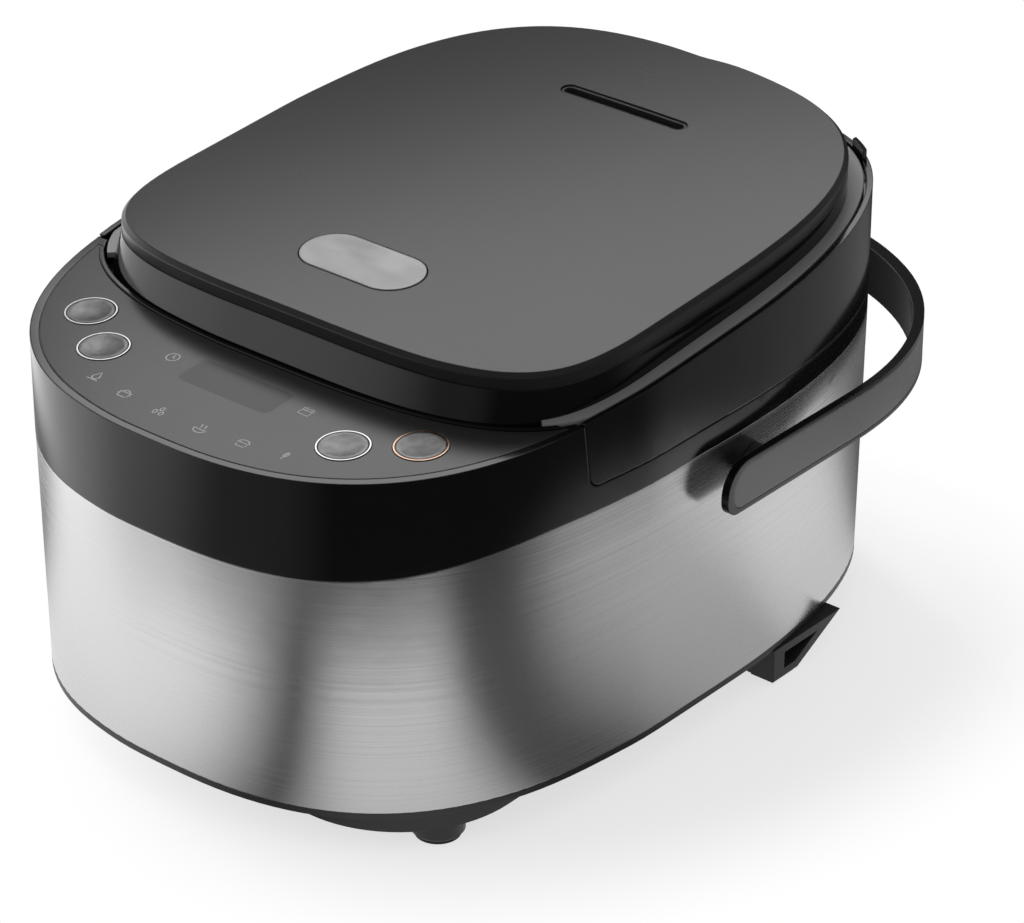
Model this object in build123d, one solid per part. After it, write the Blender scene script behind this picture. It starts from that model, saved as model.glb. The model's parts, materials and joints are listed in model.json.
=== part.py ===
from build123d import *
import os
from math import atan, cos, degrees, hypot, pi, radians, sin

# Rice cooker, millimetres. +Z is up, +X is to the cooker's left-hand control side as
# seen from behind, -Y is the front with the control panel. The floor is z = 0 and the
# origin lies midway between the front wall and the rearmost point of the carrying handle.

# ---------------------------------------------------------------- body outline
BODY_SIDE_Y = -1.75            # where the body is widest
BODY_HALF_WIDTH = 132.0
BODY_FRONT_REACH = 191.75
BODY_REAR_REACH = 157.5
BODY_FRONT_POWERS = (2.46, 3.44)
BODY_REAR_POWERS = (4.0, 2.18)
BODY_FLARE = 1.1               # how much narrower the steel is at its foot
OUTLINE_STEPS = 9              # spline spans in a quarter of an outline

# ---------------------------------------------------------------- heights
PAN_BOTTOM_Z = 9.0
RING_BOTTOM_Z = 16.2
RING_TOP_Z = 19.0
STEEL_TOP_Z = 131.8
STEEL_FRONT_DIP = 10.6         # the steel's top edge is this much lower at the front
FRONT_Y = BODY_SIDE_Y - BODY_FRONT_REACH    # the body's foremost line
STEEL_DIP_START_Y = FRONT_Y + 96.0
STEEL_DIP_END_Y = FRONT_Y
COLLAR_SEAM_Z = 142.1
COLLAR_SEAM_Y = -88.0
COLLAR_SEAM_LEAN = 0.118       # the front seam leans forward by this much per mm of height
COLLAR_CORNER_R = 5.0
COLLAR_TOP_Z = 177.96          # at y = 0
COLLAR_TOP_SLOPE = 0.08
PANEL_FRONT_Y = FRONT_Y
PANEL_FRONT_Z = 162.85
PANEL_SLOPE = 0.068

# ---------------------------------------------------------------- walls and gaps
STEEL_T = 0.8
HOUSING_T = 2.6
COLLAR_T = 3.65
COLLAR_RIM_T = 2.4             # the wall is thinner beside the lid's flange
COLLAR_RIM_H = 3.4
SEAM_GAP = 0.5                 # visible parting gap between housing and collar
FIT_GAP = 0.15                 # between pieces that are screwed or clipped together
MOVE_GAP = 0.35                # between a moving piece and its surround
RUN_GAP = 0.05                 # radial clearance of a pin in its bore
SKIRT_T = 2.0
SKIRT_DEPTH = 8.0              # how far the housing reaches down inside the steel
LAP = 5.0                      # how far the collar laps behind the housing

# ---------------------------------------------------------------- lid opening
OPENING_SIDE_Y = -31.7
OPENING_HALF_WIDTH = 133.0
OPENING_REACH = 94.0
OPENING_POWERS = (2.9, 3.8)
OPENING_LIP_T = 1.5            # raised lip between panel and opening
OPENING_LIP_RISE = 0.8
OPENING_LIP_IN = 0.8           # the lip's inner face, inside the opening outline
OPENING_WALL_Z = 152.0         # foot of the opening's front wall

# ---------------------------------------------------------------- lid
LID_SIDE_Y = -30.6
LID_HALF_WIDTH = 122.2
LID_FRONT_REACH = 87.2
LID_REAR_REACH = 178.7
LID_FRONT_POWERS = (3.46, 4.01)
LID_REAR_POWERS = (2.92, 3.60)
LID_FRONT_FLARE = 6.4          # the front wall leans out by this much at its foot
LID_SIDE_FLARE = 2.5
LID_FLARE_FOOT_Z = 164.0
LID_FLARE_TOP_Z = 182.0
CROWN_Z = 196.4                # height of the lid's top at x = 0, y = 0 on its slope
CROWN_SLOPE = 0.0661
CROWN_RADIUS_X = 3041.0
LID_BEVEL = 1.8
LID_PART_DROP = 6.6            # top cover's lower edge below the crown
LID_SKIN_T = 2.5
LID_WALL_T = 2.6
FLANGE_GAP = 1.1               # between the lid's flange and the collar
FLANGE_T = 2.4
FLANGE_DROP = 0.2              # flange top below the collar's top
FLANGE_END = (113.5, -99.0)    # inner corner of the flange's blunt front end
FLANGE_END_TURN = 42.0         # direction of that end, degrees ahead of +X

# ---------------------------------------------------------------- pot, well and heater
POT_Y = 8.0
POT_R = 107.5
POT_T = 2.0
POT_BOTTOM_Z = 38.0
POT_BOTTOM_R = 18.0            # radius between the pot's wall and bottom
POT_RIM_Z = 162.0
POT_RIM_R = POT_R + 4.5
POT_RIM_T = 1.6
DECK_TOP_Z = 159.0
DECK_T = 2.5
DECK_HOLE_R = POT_R + 1.5
WELL_R = POT_R + 3.3
WELL_T = 0.8
WELL_FLOOR_Z = 24.0
WELL_FLANGE_R = WELL_R + 5.2
HEATER_R = 84.0
HEATER_T = 8.0
ELEMENT_R = 62.0
ELEMENT_WIRE_R = 3.6
SENSOR_R = 15.0
SENSOR_TRAVEL = 3.0
SENSOR_CAP_T = 6.0
SENSOR_SPRING_FOOT_Z = 17.0

# ---------------------------------------------------------------- inner lid
LINER_FLOOR_Z = 164.5
LINER_FLOOR_T = 2.2
LINER_CUP_R = POT_RIM_R + 4.0
LINER_CUP_T = 2.5
SEAL_GAP = 0.3                 # drawn free height between seal and pot rim
SEAL_OUT_R = POT_R - 0.5
SEAL_IN_R = POT_R - 7.5
INNER_LID_R = POT_R - 5.0
INNER_LID_Z = 163.0
INNER_LID_T = 0.8

# ---------------------------------------------------------------- hinge
HINGE_Y = 145.0
HINGE_Z = 193.8
HINGE_PIN_R = 2.0
EAR_X = 40.0
EAR_T = 8.0
EAR_R = 4.3
NOTCH_SIDE_GAP = 0.8
NOTCH_REACH = 5.9              # from the pin to the front and top of the lid's notch
KNUCKLE_T = 7.0
KNUCKLE_R = 4.7
KNUCKLE_RIB_T = 3.4
BUMP_X = (80.0, 91.0)
BUMP_IN = 0.6                  # the bump's outer face, inside the body's outline
BUMP_TOP_Z = 193.0

# ---------------------------------------------------------------- lid button and latch
BUTTON_Y = -72.5
BUTTON_HALF_L = 29.4
BUTTON_HALF_W = 14.2
BUTTON_T = 3.2
BUTTON_TRAVEL = 3.5
BUTTON_WELL_T = 1.8
BUTTON_WELL_DEPTH = 11.0
BUTTON_FOOT_Z = 180.5
BUTTON_STEM_W = 12.0
BUTTON_SPRING_X = 20.0
BUTTON_SPRING_R = 3.4
LATCH_HALF_W = 9.0
LATCH_PLATE_Z = 174.6
LATCH_PLATE_T = 2.4
LATCH_BLADE_Y = -113.0
LATCH_BLADE_T = 2.4
LATCH_NOSE_Y = -120.2
LATCH_NOSE_Z = 160.4
LATCH_NOSE_T = 2.2
LATCH_RAMP_H = 4.0             # ramp's top above the button's foot
CATCH_EDGE_Y = -121.2
CATCH_Z = 163.2
CATCH_T = 2.0

# ---------------------------------------------------------------- steam vent
VENT_Y = 90.5
VENT_HALF_L = 32.8
VENT_HALF_W = 3.9
VENT_SINK = 0.7                # the insert lies this much below the lid's surface
VENT_CAP_H = 13.0
VENT_CAP_T = 1.15
VENT_FLOOR_T = 2.4
DUCT_T = 1.6

# ---------------------------------------------------------------- control panel
LENS_EDGE = 3.4                # width of the housing's rim outside the lens
LENS_T = 2.0
LENS_REAR_Y = -96.0
TRAY_T = 2.2
KEY_R = 9.6
KEY_RING_R = 10.6
KEY_RING_T = 0.6
KEY_CENTRES = ((86.7, FRONT_Y + 56.2), (62.9, FRONT_Y + 39.2))
KEY_TRAVEL = 0.8
KEY_STEM_R = 3.0
KEY_STEM_L = 6.8
KEY_DISH_R = 60.0
DISPLAY_HALF_L = 23.7
DISPLAY_Y = (FRONT_Y + 38.5, FRONT_Y + 55.0)
LED_SPOTS = ((48.7, FRONT_Y + 27.9), (31.1, FRONT_Y + 25.0), (10.5, FRONT_Y + 23.0), (35.2, FRONT_Y + 40.4))
LED_R = 1.1
BOARD_DROP = 14.0              # top of the control board below the panel's surface
BOARD_T = 1.6

# ---------------------------------------------------------------- carrying handle
ARM_OUT_X = 142.65
ARM_FRONT_T = 3.4              # thickness of the arms, which grows along the bend
ARM_REAR_T = 6.6
ARM_MID_Z = 115.5
ARM_H = 21.8
ARM_FRONT_Y = -20.3
ARM_BEND_Y = 60.0              # where the straight arm starts to bend
HANDLE_REACH = 193.5
HANDLE_POWERS = (2.32, 2.32)
PIVOT_Y = 9.0
PIVOT_R = 5.0
PIVOT_L = 4.6
MOUNT_R = 7.4
HUB_L = 3.0                    # hub on the inside of each arm
NUT_R = 7.0
MOUNT_STEP = 0.4               # gap between mount disc and arm
FACING_T = 1.2
FACING_BORDER = 2.1
FACING_FRONT_Y = -16.4

# ---------------------------------------------------------------- feet and underside
PAN_HALF_WIDTH = 113.0
PAN_FRONT_Y = FRONT_Y + 20.0
PAN_REAR_Y = BODY_SIDE_Y + BODY_REAR_REACH - 17.75
PAN_CORNER_R = 55.0
PAN_T = 2.4
FOOT_R = 10.9
FOOT_CHAMFER = 1.2
FRONT_FEET = (95.5, PAN_FRONT_Y + 33.5)
REAR_FEET = (78.0, PAN_REAR_Y - 32.0)
PAD_T = 1.4
SIDE_FOOT_X = (BODY_HALF_WIDTH - 15.3, BODY_HALF_WIDTH - 1.6)
SIDE_FOOT_Y = (30.5, 47.0)
SIDE_FOOT_TOP_Y = 76.0
SIDE_FOOT_WALL = 3.6
SCREW_SPOTS = ((82.0, PAN_FRONT_Y + 61.5), (92.0, PAN_REAR_Y - 46.0))
SCREW_R = 1.9
SCREW_HEAD_R = 3.6
SCREW_HEAD_T = 2.2
BOSS_R = 4.6
SCREW_BOSS_TOP_Z = 34.0
SLOT_COUNT = 9
SLOT_PITCH = 9.0
SLOT_L = 46.0
SLOT_W = 3.4

# ---------------------------------------------------------------- mains inlet and boards
INLET_Z = 46.0
INLET_W = 27.0
INLET_H = 20.0
INLET_FLANGE = 3.0
INLET_FLANGE_T = 1.8
INLET_DEPTH = 20.0
SOCKET_W = 24.4
SOCKET_H = 16.6
SOCKET_DEPTH = 18.0
INLET_PIN_L = 12.8
INLET_PIN_PITCH = 7.0
POWER_BOARD_Y = 131.0
POWER_BOARD_SIZE = (104.0, 62.0)
POWER_BOARD_Z = 62.0

SPAN = 600.0                   # larger than the cooker, for cutting blocks
COIL_WIRE_R = 0.6


# ================================================================ outlines
def quarter(half_width, reach, powers):
    """Points of a superellipse quarter from the widest point to the end of its reach."""
    angles = [pi / 2 * step / OUTLINE_STEPS for step in range(OUTLINE_STEPS)]
    points = [
        (half_width * cos(angle) ** (2 / powers[0]), reach * sin(angle) ** (2 / powers[1]))
        for angle in angles
    ]
    return points + [(0.0, reach)]


def outline(half_width, side_y, front, rear, front_powers, rear_powers):
    """Closed face: two superellipse halves that meet at the widest line."""
    back = [(x, side_y + y) for x, y in quarter(half_width, rear, rear_powers)]
    fore = [(x, side_y - y) for x, y in quarter(half_width, front, front_powers)]
    mirrored_back = [(-x, y) for x, y in back]
    mirrored_fore = [(-x, y) for x, y in fore]
    edges = [
        Spline(*back, tangents=((0, 1), (-1, 0))),
        Spline(*mirrored_back[::-1], tangents=((-1, 0), (0, -1))),
        Spline(*mirrored_fore, tangents=((0, -1), (1, 0))),
        Spline(*fore[::-1], tangents=((1, 0), (0, 1))),
    ]
    return make_face(Curve() + edges)


def body_face(inset=0.0):
    """The body's outline, moved in by inset."""
    return outline(
        BODY_HALF_WIDTH - inset,
        BODY_SIDE_Y,
        BODY_FRONT_REACH - inset,
        BODY_REAR_REACH - inset,
        BODY_FRONT_POWERS,
        BODY_REAR_POWERS,
    )


def lid_face(inset=0.0, front_flare=0.0, side_flare=0.0):
    """The lid's outline, moved in by inset and flared at the front and sides."""
    return outline(
        LID_HALF_WIDTH - inset + side_flare,
        LID_SIDE_Y,
        LID_FRONT_REACH - inset + front_flare,
        LID_REAR_REACH - inset,
        LID_FRONT_POWERS,
        LID_REAR_POWERS,
    )


def opening_face(inset=0.0):
    """The front curve of the lid opening, carried on straight to the rear."""
    half_width = OPENING_HALF_WIDTH - inset
    fore = [
        (x, OPENING_SIDE_Y - y)
        for x, y in quarter(half_width, OPENING_REACH - inset, OPENING_POWERS)
    ]
    mirrored = [(-x, y) for x, y in fore]
    edges = [
        Spline(*mirrored, tangents=((0, -1), (1, 0))),
        Spline(*fore[::-1], tangents=((1, 0), (0, 1))),
        Polyline((half_width, OPENING_SIDE_Y), (half_width, SPAN / 2),
                 (-half_width, SPAN / 2), (-half_width, OPENING_SIDE_Y)),
    ]
    return make_face(Curve() + edges)


def prism(face, low_z, high_z):
    """A flat outline carried from one height to another."""
    return extrude(Pos(0, 0, low_z) * face, amount=high_z - low_z)


def taper(low_face, low_z, high_face, high_z):
    """A ruled solid between two similar outlines at two heights."""
    return loft([Pos(0, 0, low_z) * low_face, Pos(0, 0, high_z) * high_face], ruled=True)


def side_prism(face, low_x=-SPAN / 2, high_x=SPAN / 2):
    """A (y, z) profile carried along X."""
    return Pos(low_x, 0, 0) * extrude(Plane.YZ * face, amount=high_x - low_x)


def block(x, y, z):
    """A box from three (low, high) pairs."""
    size = [pair[1] - pair[0] for pair in (x, y, z)]
    middle = [(pair[1] + pair[0]) / 2 for pair in (x, y, z)]
    return Pos(*middle) * Box(*size)


def rod(radius, low_z, high_z, x=0.0, y=0.0):
    """An upright cylinder."""
    return Pos(x, y, (low_z + high_z) / 2) * Cylinder(radius, high_z - low_z)


def cross_rod(radius, low_x, high_x, y, z):
    """A cylinder along X."""
    return Pos((low_x + high_x) / 2, y, z) * Rot(0, 90, 0) * Cylinder(radius, high_x - low_x)


def both_sides(part):
    """A part and its mirror image across the middle plane."""
    return part + mirror(part, about=Plane.YZ)


def stadium(half_length, half_width):
    """A slot outline along X, measured to its ends."""
    return SlotOverall(2 * half_length, 2 * half_width)


def above_slope(z_at_origin, slope):
    """Everything above a plane that rises towards the rear."""
    reach = SPAN / 2
    low, high = z_at_origin - slope * reach, z_at_origin + slope * reach
    return side_prism(make_face(Polyline((-reach, low), (reach, high), (reach, SPAN), (-reach, SPAN), close=True)))


def slope_slab(z_at_origin, slope, thickness):
    """A plate of even height below a plane that rises towards the rear."""
    reach = SPAN / 2
    low, high = z_at_origin - slope * reach, z_at_origin + slope * reach
    return side_prism(make_face(Polyline(
        (-reach, low - thickness), (reach, high - thickness), (reach, high), (-reach, low), close=True)))


def above_steel(drop=0.0):
    """Everything above the steel's top edge, which dips in an S-curve at the front."""
    steps = 6
    curve = []
    for step in range(steps + 1):
        share = step / steps
        ease = share * share * (3 - 2 * share)
        y = STEEL_DIP_END_Y + (STEEL_DIP_START_Y - STEEL_DIP_END_Y) * share
        curve.append((y, STEEL_TOP_Z - STEEL_FRONT_DIP * (1 - ease) - drop))
    edges = [
        Line((-SPAN / 2, curve[0][1]), curve[0]),
        Spline(*curve, tangents=((1, 0), (1, 0))),
        Polyline(curve[-1], (SPAN / 2, curve[-1][1]), (SPAN / 2, SPAN), (-SPAN / 2, SPAN), (-SPAN / 2, curve[0][1])),
    ]
    return side_prism(make_face(Curve() + edges))


def panel_z(y, drop=0.0):
    """Height of the control panel's surface at y, lowered by drop."""
    return PANEL_FRONT_Z + PANEL_SLOPE * (y - PANEL_FRONT_Y) - drop


def above_panel(drop=0.0):
    """Everything above the control panel's surface, lowered by drop."""
    return above_slope(panel_z(0.0, drop), PANEL_SLOPE)


def collar_zone(grow=0.0):
    """The part of the side view that belongs to the collar, grown by grow."""
    foot_z = COLLAR_SEAM_Z - grow
    foot_y = COLLAR_SEAM_Y - grow
    rise = SPAN / 2 - foot_z
    top_y = foot_y - COLLAR_SEAM_LEAN * rise
    corner = FilletPolyline(
        (top_y, foot_z + rise), (foot_y, foot_z), (SPAN / 2, foot_z), radius=COLLAR_CORNER_R)
    close = Polyline((SPAN / 2, foot_z), (SPAN / 2, foot_z + rise), (top_y, foot_z + rise))
    return side_prism(make_face(Curve() + [corner, close]))


def crown_block(drop=0.0):
    """Everything below the lid's crowned and sloping top surface, lowered by drop."""
    half = BODY_HALF_WIDTH + LID_SKIN_T
    reach = 2 * SPAN / 3
    tilt = atan(CROWN_SLOPE)
    top = -drop
    edge = top - half ** 2 / (2 * CROWN_RADIUS_X)
    depth = 90.0
    profile = make_face(Curve() + [
        ThreePointArc((-half, edge), (0, top), (half, edge)),
        Polyline((half, edge), (half, edge - depth), (-half, edge - depth), (-half, edge)),
    ])
    start = Plane(
        origin=(0, -reach / 2, CROWN_Z - CROWN_SLOPE * reach / 2), x_dir=(1, 0, 0), z_dir=(0, -cos(tilt), -sin(tilt)))
    return extrude(start * profile, amount=-reach / cos(tilt))


def coil(radius, low_z, high_z, pitch, x=0.0, y=0.0):
    """A round-wire compression spring."""
    path = Helix(pitch=pitch, height=high_z - low_z - 2 * COIL_WIRE_R, radius=radius)
    section = Plane(origin=path @ 0, z_dir=path % 0) * Circle(COIL_WIRE_R)
    return Pos(x, y, low_z + COIL_WIRE_R) * sweep(section, path=path, is_frenet=True)


# ================================================================ base and shell
def base_pan():
    """Moulded floor with the black ring that shows below the steel."""
    ring = prism(body_face(BODY_FLARE), RING_BOTTOM_Z, RING_TOP_Z)
    ring -= prism(body_face(BODY_FLARE + 12.0), RING_BOTTOM_Z + PAN_T, RING_TOP_Z)
    middle_y = (PAN_FRONT_Y + PAN_REAR_Y) / 2
    pan_l = PAN_REAR_Y - PAN_FRONT_Y
    foot = Pos(0, middle_y, 0) * RectangleRounded(2 * PAN_HALF_WIDTH, pan_l, PAN_CORNER_R)
    hollow = Pos(0, middle_y, 0) * RectangleRounded(
        2 * (PAN_HALF_WIDTH - PAN_T), pan_l - 2 * PAN_T, PAN_CORNER_R - PAN_T)
    pan = ring + prism(foot, PAN_BOTTOM_Z, RING_BOTTOM_Z + PAN_T)
    pan -= prism(hollow, PAN_BOTTOM_Z + PAN_T, RING_TOP_Z)
    locator_in = BODY_FLARE + STEEL_T + FIT_GAP
    pan += prism(body_face(locator_in) - body_face(locator_in + SKIRT_T), RING_TOP_Z - PAN_T, RING_TOP_Z + SKIRT_DEPTH)
    for x, y in SCREW_SPOTS:
        pan += both_sides(rod(BOSS_R, PAN_BOTTOM_Z, SCREW_BOSS_TOP_Z, x, y))
        pan -= both_sides(rod(SCREW_R, PAN_BOTTOM_Z - 1, SCREW_BOSS_TOP_Z - PAN_T, x, y))
        pan -= both_sides(rod(SCREW_HEAD_R + FIT_GAP, PAN_BOTTOM_Z - 1, PAN_BOTTOM_Z + SCREW_HEAD_T, x, y))
    slots = [
        Pos(0, POT_Y + (index - (SLOT_COUNT - 1) / 2) * SLOT_PITCH, 0) * stadium(SLOT_L / 2, SLOT_W / 2)
        for index in range(SLOT_COUNT) if abs(index - (SLOT_COUNT - 1) / 2) > 1
    ]
    pan -= prism(Sketch() + slots, PAN_BOTTOM_Z - 1, PAN_BOTTOM_Z + PAN_T + 1)
    return pan


def base_screws():
    """Four self-tapping screws that hold the floor, up in their bosses."""
    screws = Part()
    for x, y in SCREW_SPOTS:
        head = rod(SCREW_HEAD_R, PAN_BOTTOM_Z, PAN_BOTTOM_Z + SCREW_HEAD_T, x, y)
        shank = rod(SCREW_R - RUN_GAP, PAN_BOTTOM_Z + SCREW_HEAD_T, SCREW_BOSS_TOP_Z - PAN_T - 1, x, y)
        recess = block((x - 0.5, x + 0.5), (y - 2.2, y + 2.2), (PAN_BOTTOM_Z, PAN_BOTTOM_Z + 1))
        recess += block((x - 2.2, x + 2.2), (y - 0.5, y + 0.5), (PAN_BOTTOM_Z, PAN_BOTTOM_Z + 1))
        screws += both_sides(head + shank - recess)
    return screws


def round_feet(spot):
    """A pair of round feet, one on each side."""
    x, y = spot
    foot = rod(FOOT_R, PAD_T, PAN_BOTTOM_Z, x, y)
    foot = chamfer(foot.edges().group_by(Axis.Z)[0], FOOT_CHAMFER)
    return both_sides(foot)


def side_feet():
    """Two hollow wedge feet under the sides, each an upright post and a slanting strut."""
    low_y, high_y = SIDE_FOOT_Y
    wall = SIDE_FOOT_WALL
    top = RING_BOTTOM_Z
    side = make_face(Polyline(
        (low_y, PAD_T), (high_y, PAD_T), (SIDE_FOOT_TOP_Y, top), (low_y, top), close=True))
    lean = (SIDE_FOOT_TOP_Y - high_y) / (top - PAD_T)
    window = make_face(Polyline(
        (low_y + 2 * wall, PAD_T + wall),
        (high_y - wall / 2, PAD_T + wall),
        (high_y - wall / 2 + lean * (top - PAD_T - 2 * wall), top - wall),
        (low_y + 2 * wall, top - wall), close=True))
    foot = side_prism(side - window, *SIDE_FOOT_X)
    return both_sides(foot)


def foot_pads():
    """Rubber pads that the cooker stands on."""
    pads = Part()
    for x, y in (FRONT_FEET, REAR_FEET):
        pads += both_sides(rod(FOOT_R - FOOT_CHAMFER - 0.4, 0, PAD_T, x, y))
    edge = FOOT_CHAMFER
    strip = block(
        (SIDE_FOOT_X[0] + edge, SIDE_FOOT_X[1] - edge), (SIDE_FOOT_Y[0] + edge, SIDE_FOOT_Y[1] - edge), (0, PAD_T))
    return pads + both_sides(strip)


def steel_band():
    """Brushed steel wall, slightly wider at its top edge."""
    low, high = RING_TOP_Z, STEEL_TOP_Z
    outer = taper(body_face(BODY_FLARE), low, body_face(), high)
    inner = taper(body_face(BODY_FLARE + STEEL_T), low, body_face(STEEL_T), high)
    window = block(
        (-INLET_W / 2 - FIT_GAP, INLET_W / 2 + FIT_GAP),
        (BODY_REAR_REACH - 2 * INLET_DEPTH, SPAN / 2),
        (INLET_Z - INLET_H / 2 - FIT_GAP, INLET_Z + INLET_H / 2 + FIT_GAP))
    mount_hole = cross_rod(PIVOT_R + FIT_GAP, -SPAN / 2, SPAN / 2, PIVOT_Y, ARM_MID_Z)
    return outer - inner - above_steel() - window - mount_hole


def front_housing():
    """Black upper casing: front band, side bands and the tray under the control panel."""
    low = STEEL_TOP_Z - STEEL_FRONT_DIP - SKIRT_DEPTH - 2
    high = COLLAR_TOP_Z + 20
    shell = prism(body_face(), low, high) - above_panel() - collar_zone()
    shell &= above_steel()
    shell -= prism(body_face(HOUSING_T), low - 1, high) - above_panel(LENS_T + TRAY_T)
    shell -= prism(lens_outline(0.0), low, high) & above_panel(LENS_T)
    inside = opening_face(OPENING_LIP_IN) & body_face(HOUSING_T)
    shell -= prism(inside, low, high)
    lip = (opening_face(OPENING_LIP_IN - OPENING_LIP_T) - opening_face(OPENING_LIP_IN)) & body_face(HOUSING_T / 2)
    wall = prism(lip, OPENING_WALL_Z, high) - above_panel(-OPENING_LIP_RISE)
    shell += wall - collar_zone(LAP + FIT_GAP)
    skirt_in = STEEL_T + 2 * FIT_GAP
    skirt = prism(body_face(skirt_in) - body_face(skirt_in + SKIRT_T), low, STEEL_TOP_Z + 1)
    shell += (skirt & above_steel(SKIRT_DEPTH)) - above_steel(-1.0)
    for x, y in KEY_CENTRES:
        shell -= both_sides(prism(Pos(x, y) * Circle(KEY_RING_R), low, high))
    display_y = sum(DISPLAY_Y) / 2
    window = Pos(0, display_y) * Rectangle(
        2 * (DISPLAY_HALF_L + MOVE_GAP), DISPLAY_Y[1] - DISPLAY_Y[0] + 2 * MOVE_GAP)
    shell -= prism(window, low, high)
    for x, y in LED_SPOTS:
        shell -= both_sides(prism(Pos(x, y) * Circle(LED_R + MOVE_GAP), low, high))
    return shell


def lens_outline(gap):
    """Outline of the panel lens: inside the housing's rim and ahead of the opening's lip."""
    lens = body_face(LENS_EDGE + gap) - opening_face(OPENING_LIP_IN - OPENING_LIP_T - gap)
    front = Pos(0, LENS_REAR_Y - SPAN / 4) * Rectangle(SPAN, SPAN / 2 - 2 * gap)
    return lens & front


def panel_lens():
    """Dark glossy plate of the control panel, with a hole for each key and its ring."""
    lens = prism(lens_outline(FIT_GAP), PANEL_FRONT_Z - 20, COLLAR_TOP_Z + 20)
    lens = (lens & above_panel(LENS_T - RUN_GAP)) - above_panel()
    for x, y in KEY_CENTRES:
        lens -= both_sides(prism(Pos(x, y) * Circle(KEY_RING_R + FIT_GAP), PANEL_FRONT_Z - 20, COLLAR_TOP_Z))
    return lens


def rear_collar():
    """Glossy black upper wall round the sides and rear, with the lid's hinge ears."""
    low, high = COLLAR_SEAM_Z - LAP - 1, COLLAR_TOP_Z + 30
    wall = prism(body_face() - body_face(COLLAR_T), low, high) & collar_zone(-SEAM_GAP)
    lap_in = HOUSING_T + FIT_GAP
    lap = prism(body_face(lap_in) - body_face(lap_in + SKIRT_T), low, DECK_TOP_Z - DECK_T)
    wall += lap & collar_zone(LAP - 1)
    wall -= above_slope(COLLAR_TOP_Z, COLLAR_TOP_SLOPE)
    wall -= prism(body_face(COLLAR_RIM_T), low, high) & above_slope(COLLAR_TOP_Z - COLLAR_RIM_H, COLLAR_TOP_SLOPE)
    bump = block(BUMP_X, (BODY_REAR_REACH / 2, BODY_REAR_REACH), (COLLAR_TOP_Z, BUMP_TOP_Z))
    wall += prism(body_face(BUMP_IN) - body_face(COLLAR_RIM_T), low, high) & both_sides(bump)
    half = EAR_T / 2
    ear_x = (EAR_X - half, EAR_X + half)
    rear_y = HINGE_Y + EAR_R
    ear = block(ear_x, (HINGE_Y - EAR_R, rear_y), (DECK_TOP_Z + 12, HINGE_Z))
    ear += cross_rod(EAR_R, *ear_x, HINGE_Y, HINGE_Z)
    root = block(ear_x, (HINGE_Y, BODY_REAR_REACH), (DECK_TOP_Z + 12, COLLAR_TOP_Z + 7))
    ear += root & prism(body_face(COLLAR_T / 2), low, high)
    ear -= cross_rod(HINGE_PIN_R, *ear_x, HINGE_Y, HINGE_Z)
    return wall + both_sides(ear)


def top_deck():
    """Inner top plate round the pot, sunk inside the collar."""
    plate = opening_face(OPENING_LIP_IN + FIT_GAP) & body_face(COLLAR_T + SKIRT_T)
    deck = prism(plate, DECK_TOP_Z - DECK_T, DECK_TOP_Z)
    gutter = rod(DECK_HOLE_R + 7, DECK_TOP_Z - 1, DECK_TOP_Z + 1, 0, POT_Y)
    gutter -= rod(DECK_HOLE_R + 3, DECK_TOP_Z - 2, DECK_TOP_Z + 2, 0, POT_Y)
    deck -= gutter
    deck -= rod(DECK_HOLE_R, DECK_TOP_Z - DECK_T - 1, DECK_TOP_Z + 1, 0, POT_Y)
    return deck


# ================================================================ pot and heating
def inner_well():
    """Thin metal cup that shields the casing from the heater."""
    top = DECK_TOP_Z - DECK_T
    outer = rod(WELL_R, WELL_FLOOR_Z, top, 0, POT_Y)
    outer -= rod(WELL_R - WELL_T, WELL_FLOOR_Z + WELL_T, top, 0, POT_Y)
    flange = rod(WELL_FLANGE_R, top - WELL_T, top, 0, POT_Y) - rod(WELL_R - WELL_T, top - 2, top + 1, 0, POT_Y)
    hole = rod(SENSOR_R + 6, WELL_FLOOR_Z - 1, WELL_FLOOR_Z + WELL_T + 1, 0, POT_Y)
    return outer + flange - hole


def inner_pot():
    """Coated aluminium pot with a rounded bottom and a flat rim."""
    inside_r = POT_R - POT_T
    floor_z = POT_BOTTOM_Z + POT_T
    profile = make_face(Curve() + [
        Line((0, POT_BOTTOM_Z), (POT_R - POT_BOTTOM_R, POT_BOTTOM_Z)),
        TangentArc((POT_R - POT_BOTTOM_R, POT_BOTTOM_Z), (POT_R, POT_BOTTOM_Z + POT_BOTTOM_R), tangent=(1, 0)),
        Polyline(
            (POT_R, POT_BOTTOM_Z + POT_BOTTOM_R), (POT_R, POT_RIM_Z - POT_RIM_T), (POT_RIM_R, POT_RIM_Z - POT_RIM_T),
            (POT_RIM_R, POT_RIM_Z), (inside_r, POT_RIM_Z), (inside_r, POT_BOTTOM_Z + POT_BOTTOM_R)),
        TangentArc((inside_r, POT_BOTTOM_Z + POT_BOTTOM_R), (POT_R - POT_BOTTOM_R, floor_z), tangent=(0, -1)),
        Polyline((POT_R - POT_BOTTOM_R, floor_z), (0, floor_z), (0, POT_BOTTOM_Z)),
    ])
    return Pos(0, POT_Y, 0) * revolve(Plane.XZ * profile, axis=Axis.Z)


def heating_plate():
    """Cast aluminium plate that the pot stands on, on three legs."""
    low = POT_BOTTOM_Z - HEATER_T
    plate = rod(HEATER_R, low, POT_BOTTOM_Z, 0, POT_Y)
    plate -= rod(SENSOR_R + 2, low - 1, POT_BOTTOM_Z + 1, 0, POT_Y)
    groove = Pos(0, POT_Y, low) * Torus(ELEMENT_R, ELEMENT_WIRE_R)
    legs = Part()
    for index in range(3):
        angle = radians(90 + 120 * index)
        x, y = (HEATER_R - 8) * cos(angle), POT_Y + (HEATER_R - 8) * sin(angle)
        legs += rod(4.0, WELL_FLOOR_Z + WELL_T, low + 1, x, y)
    return chamfer(plate.edges().group_by(Axis.Z)[-1], 0.8) - groove + legs


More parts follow.
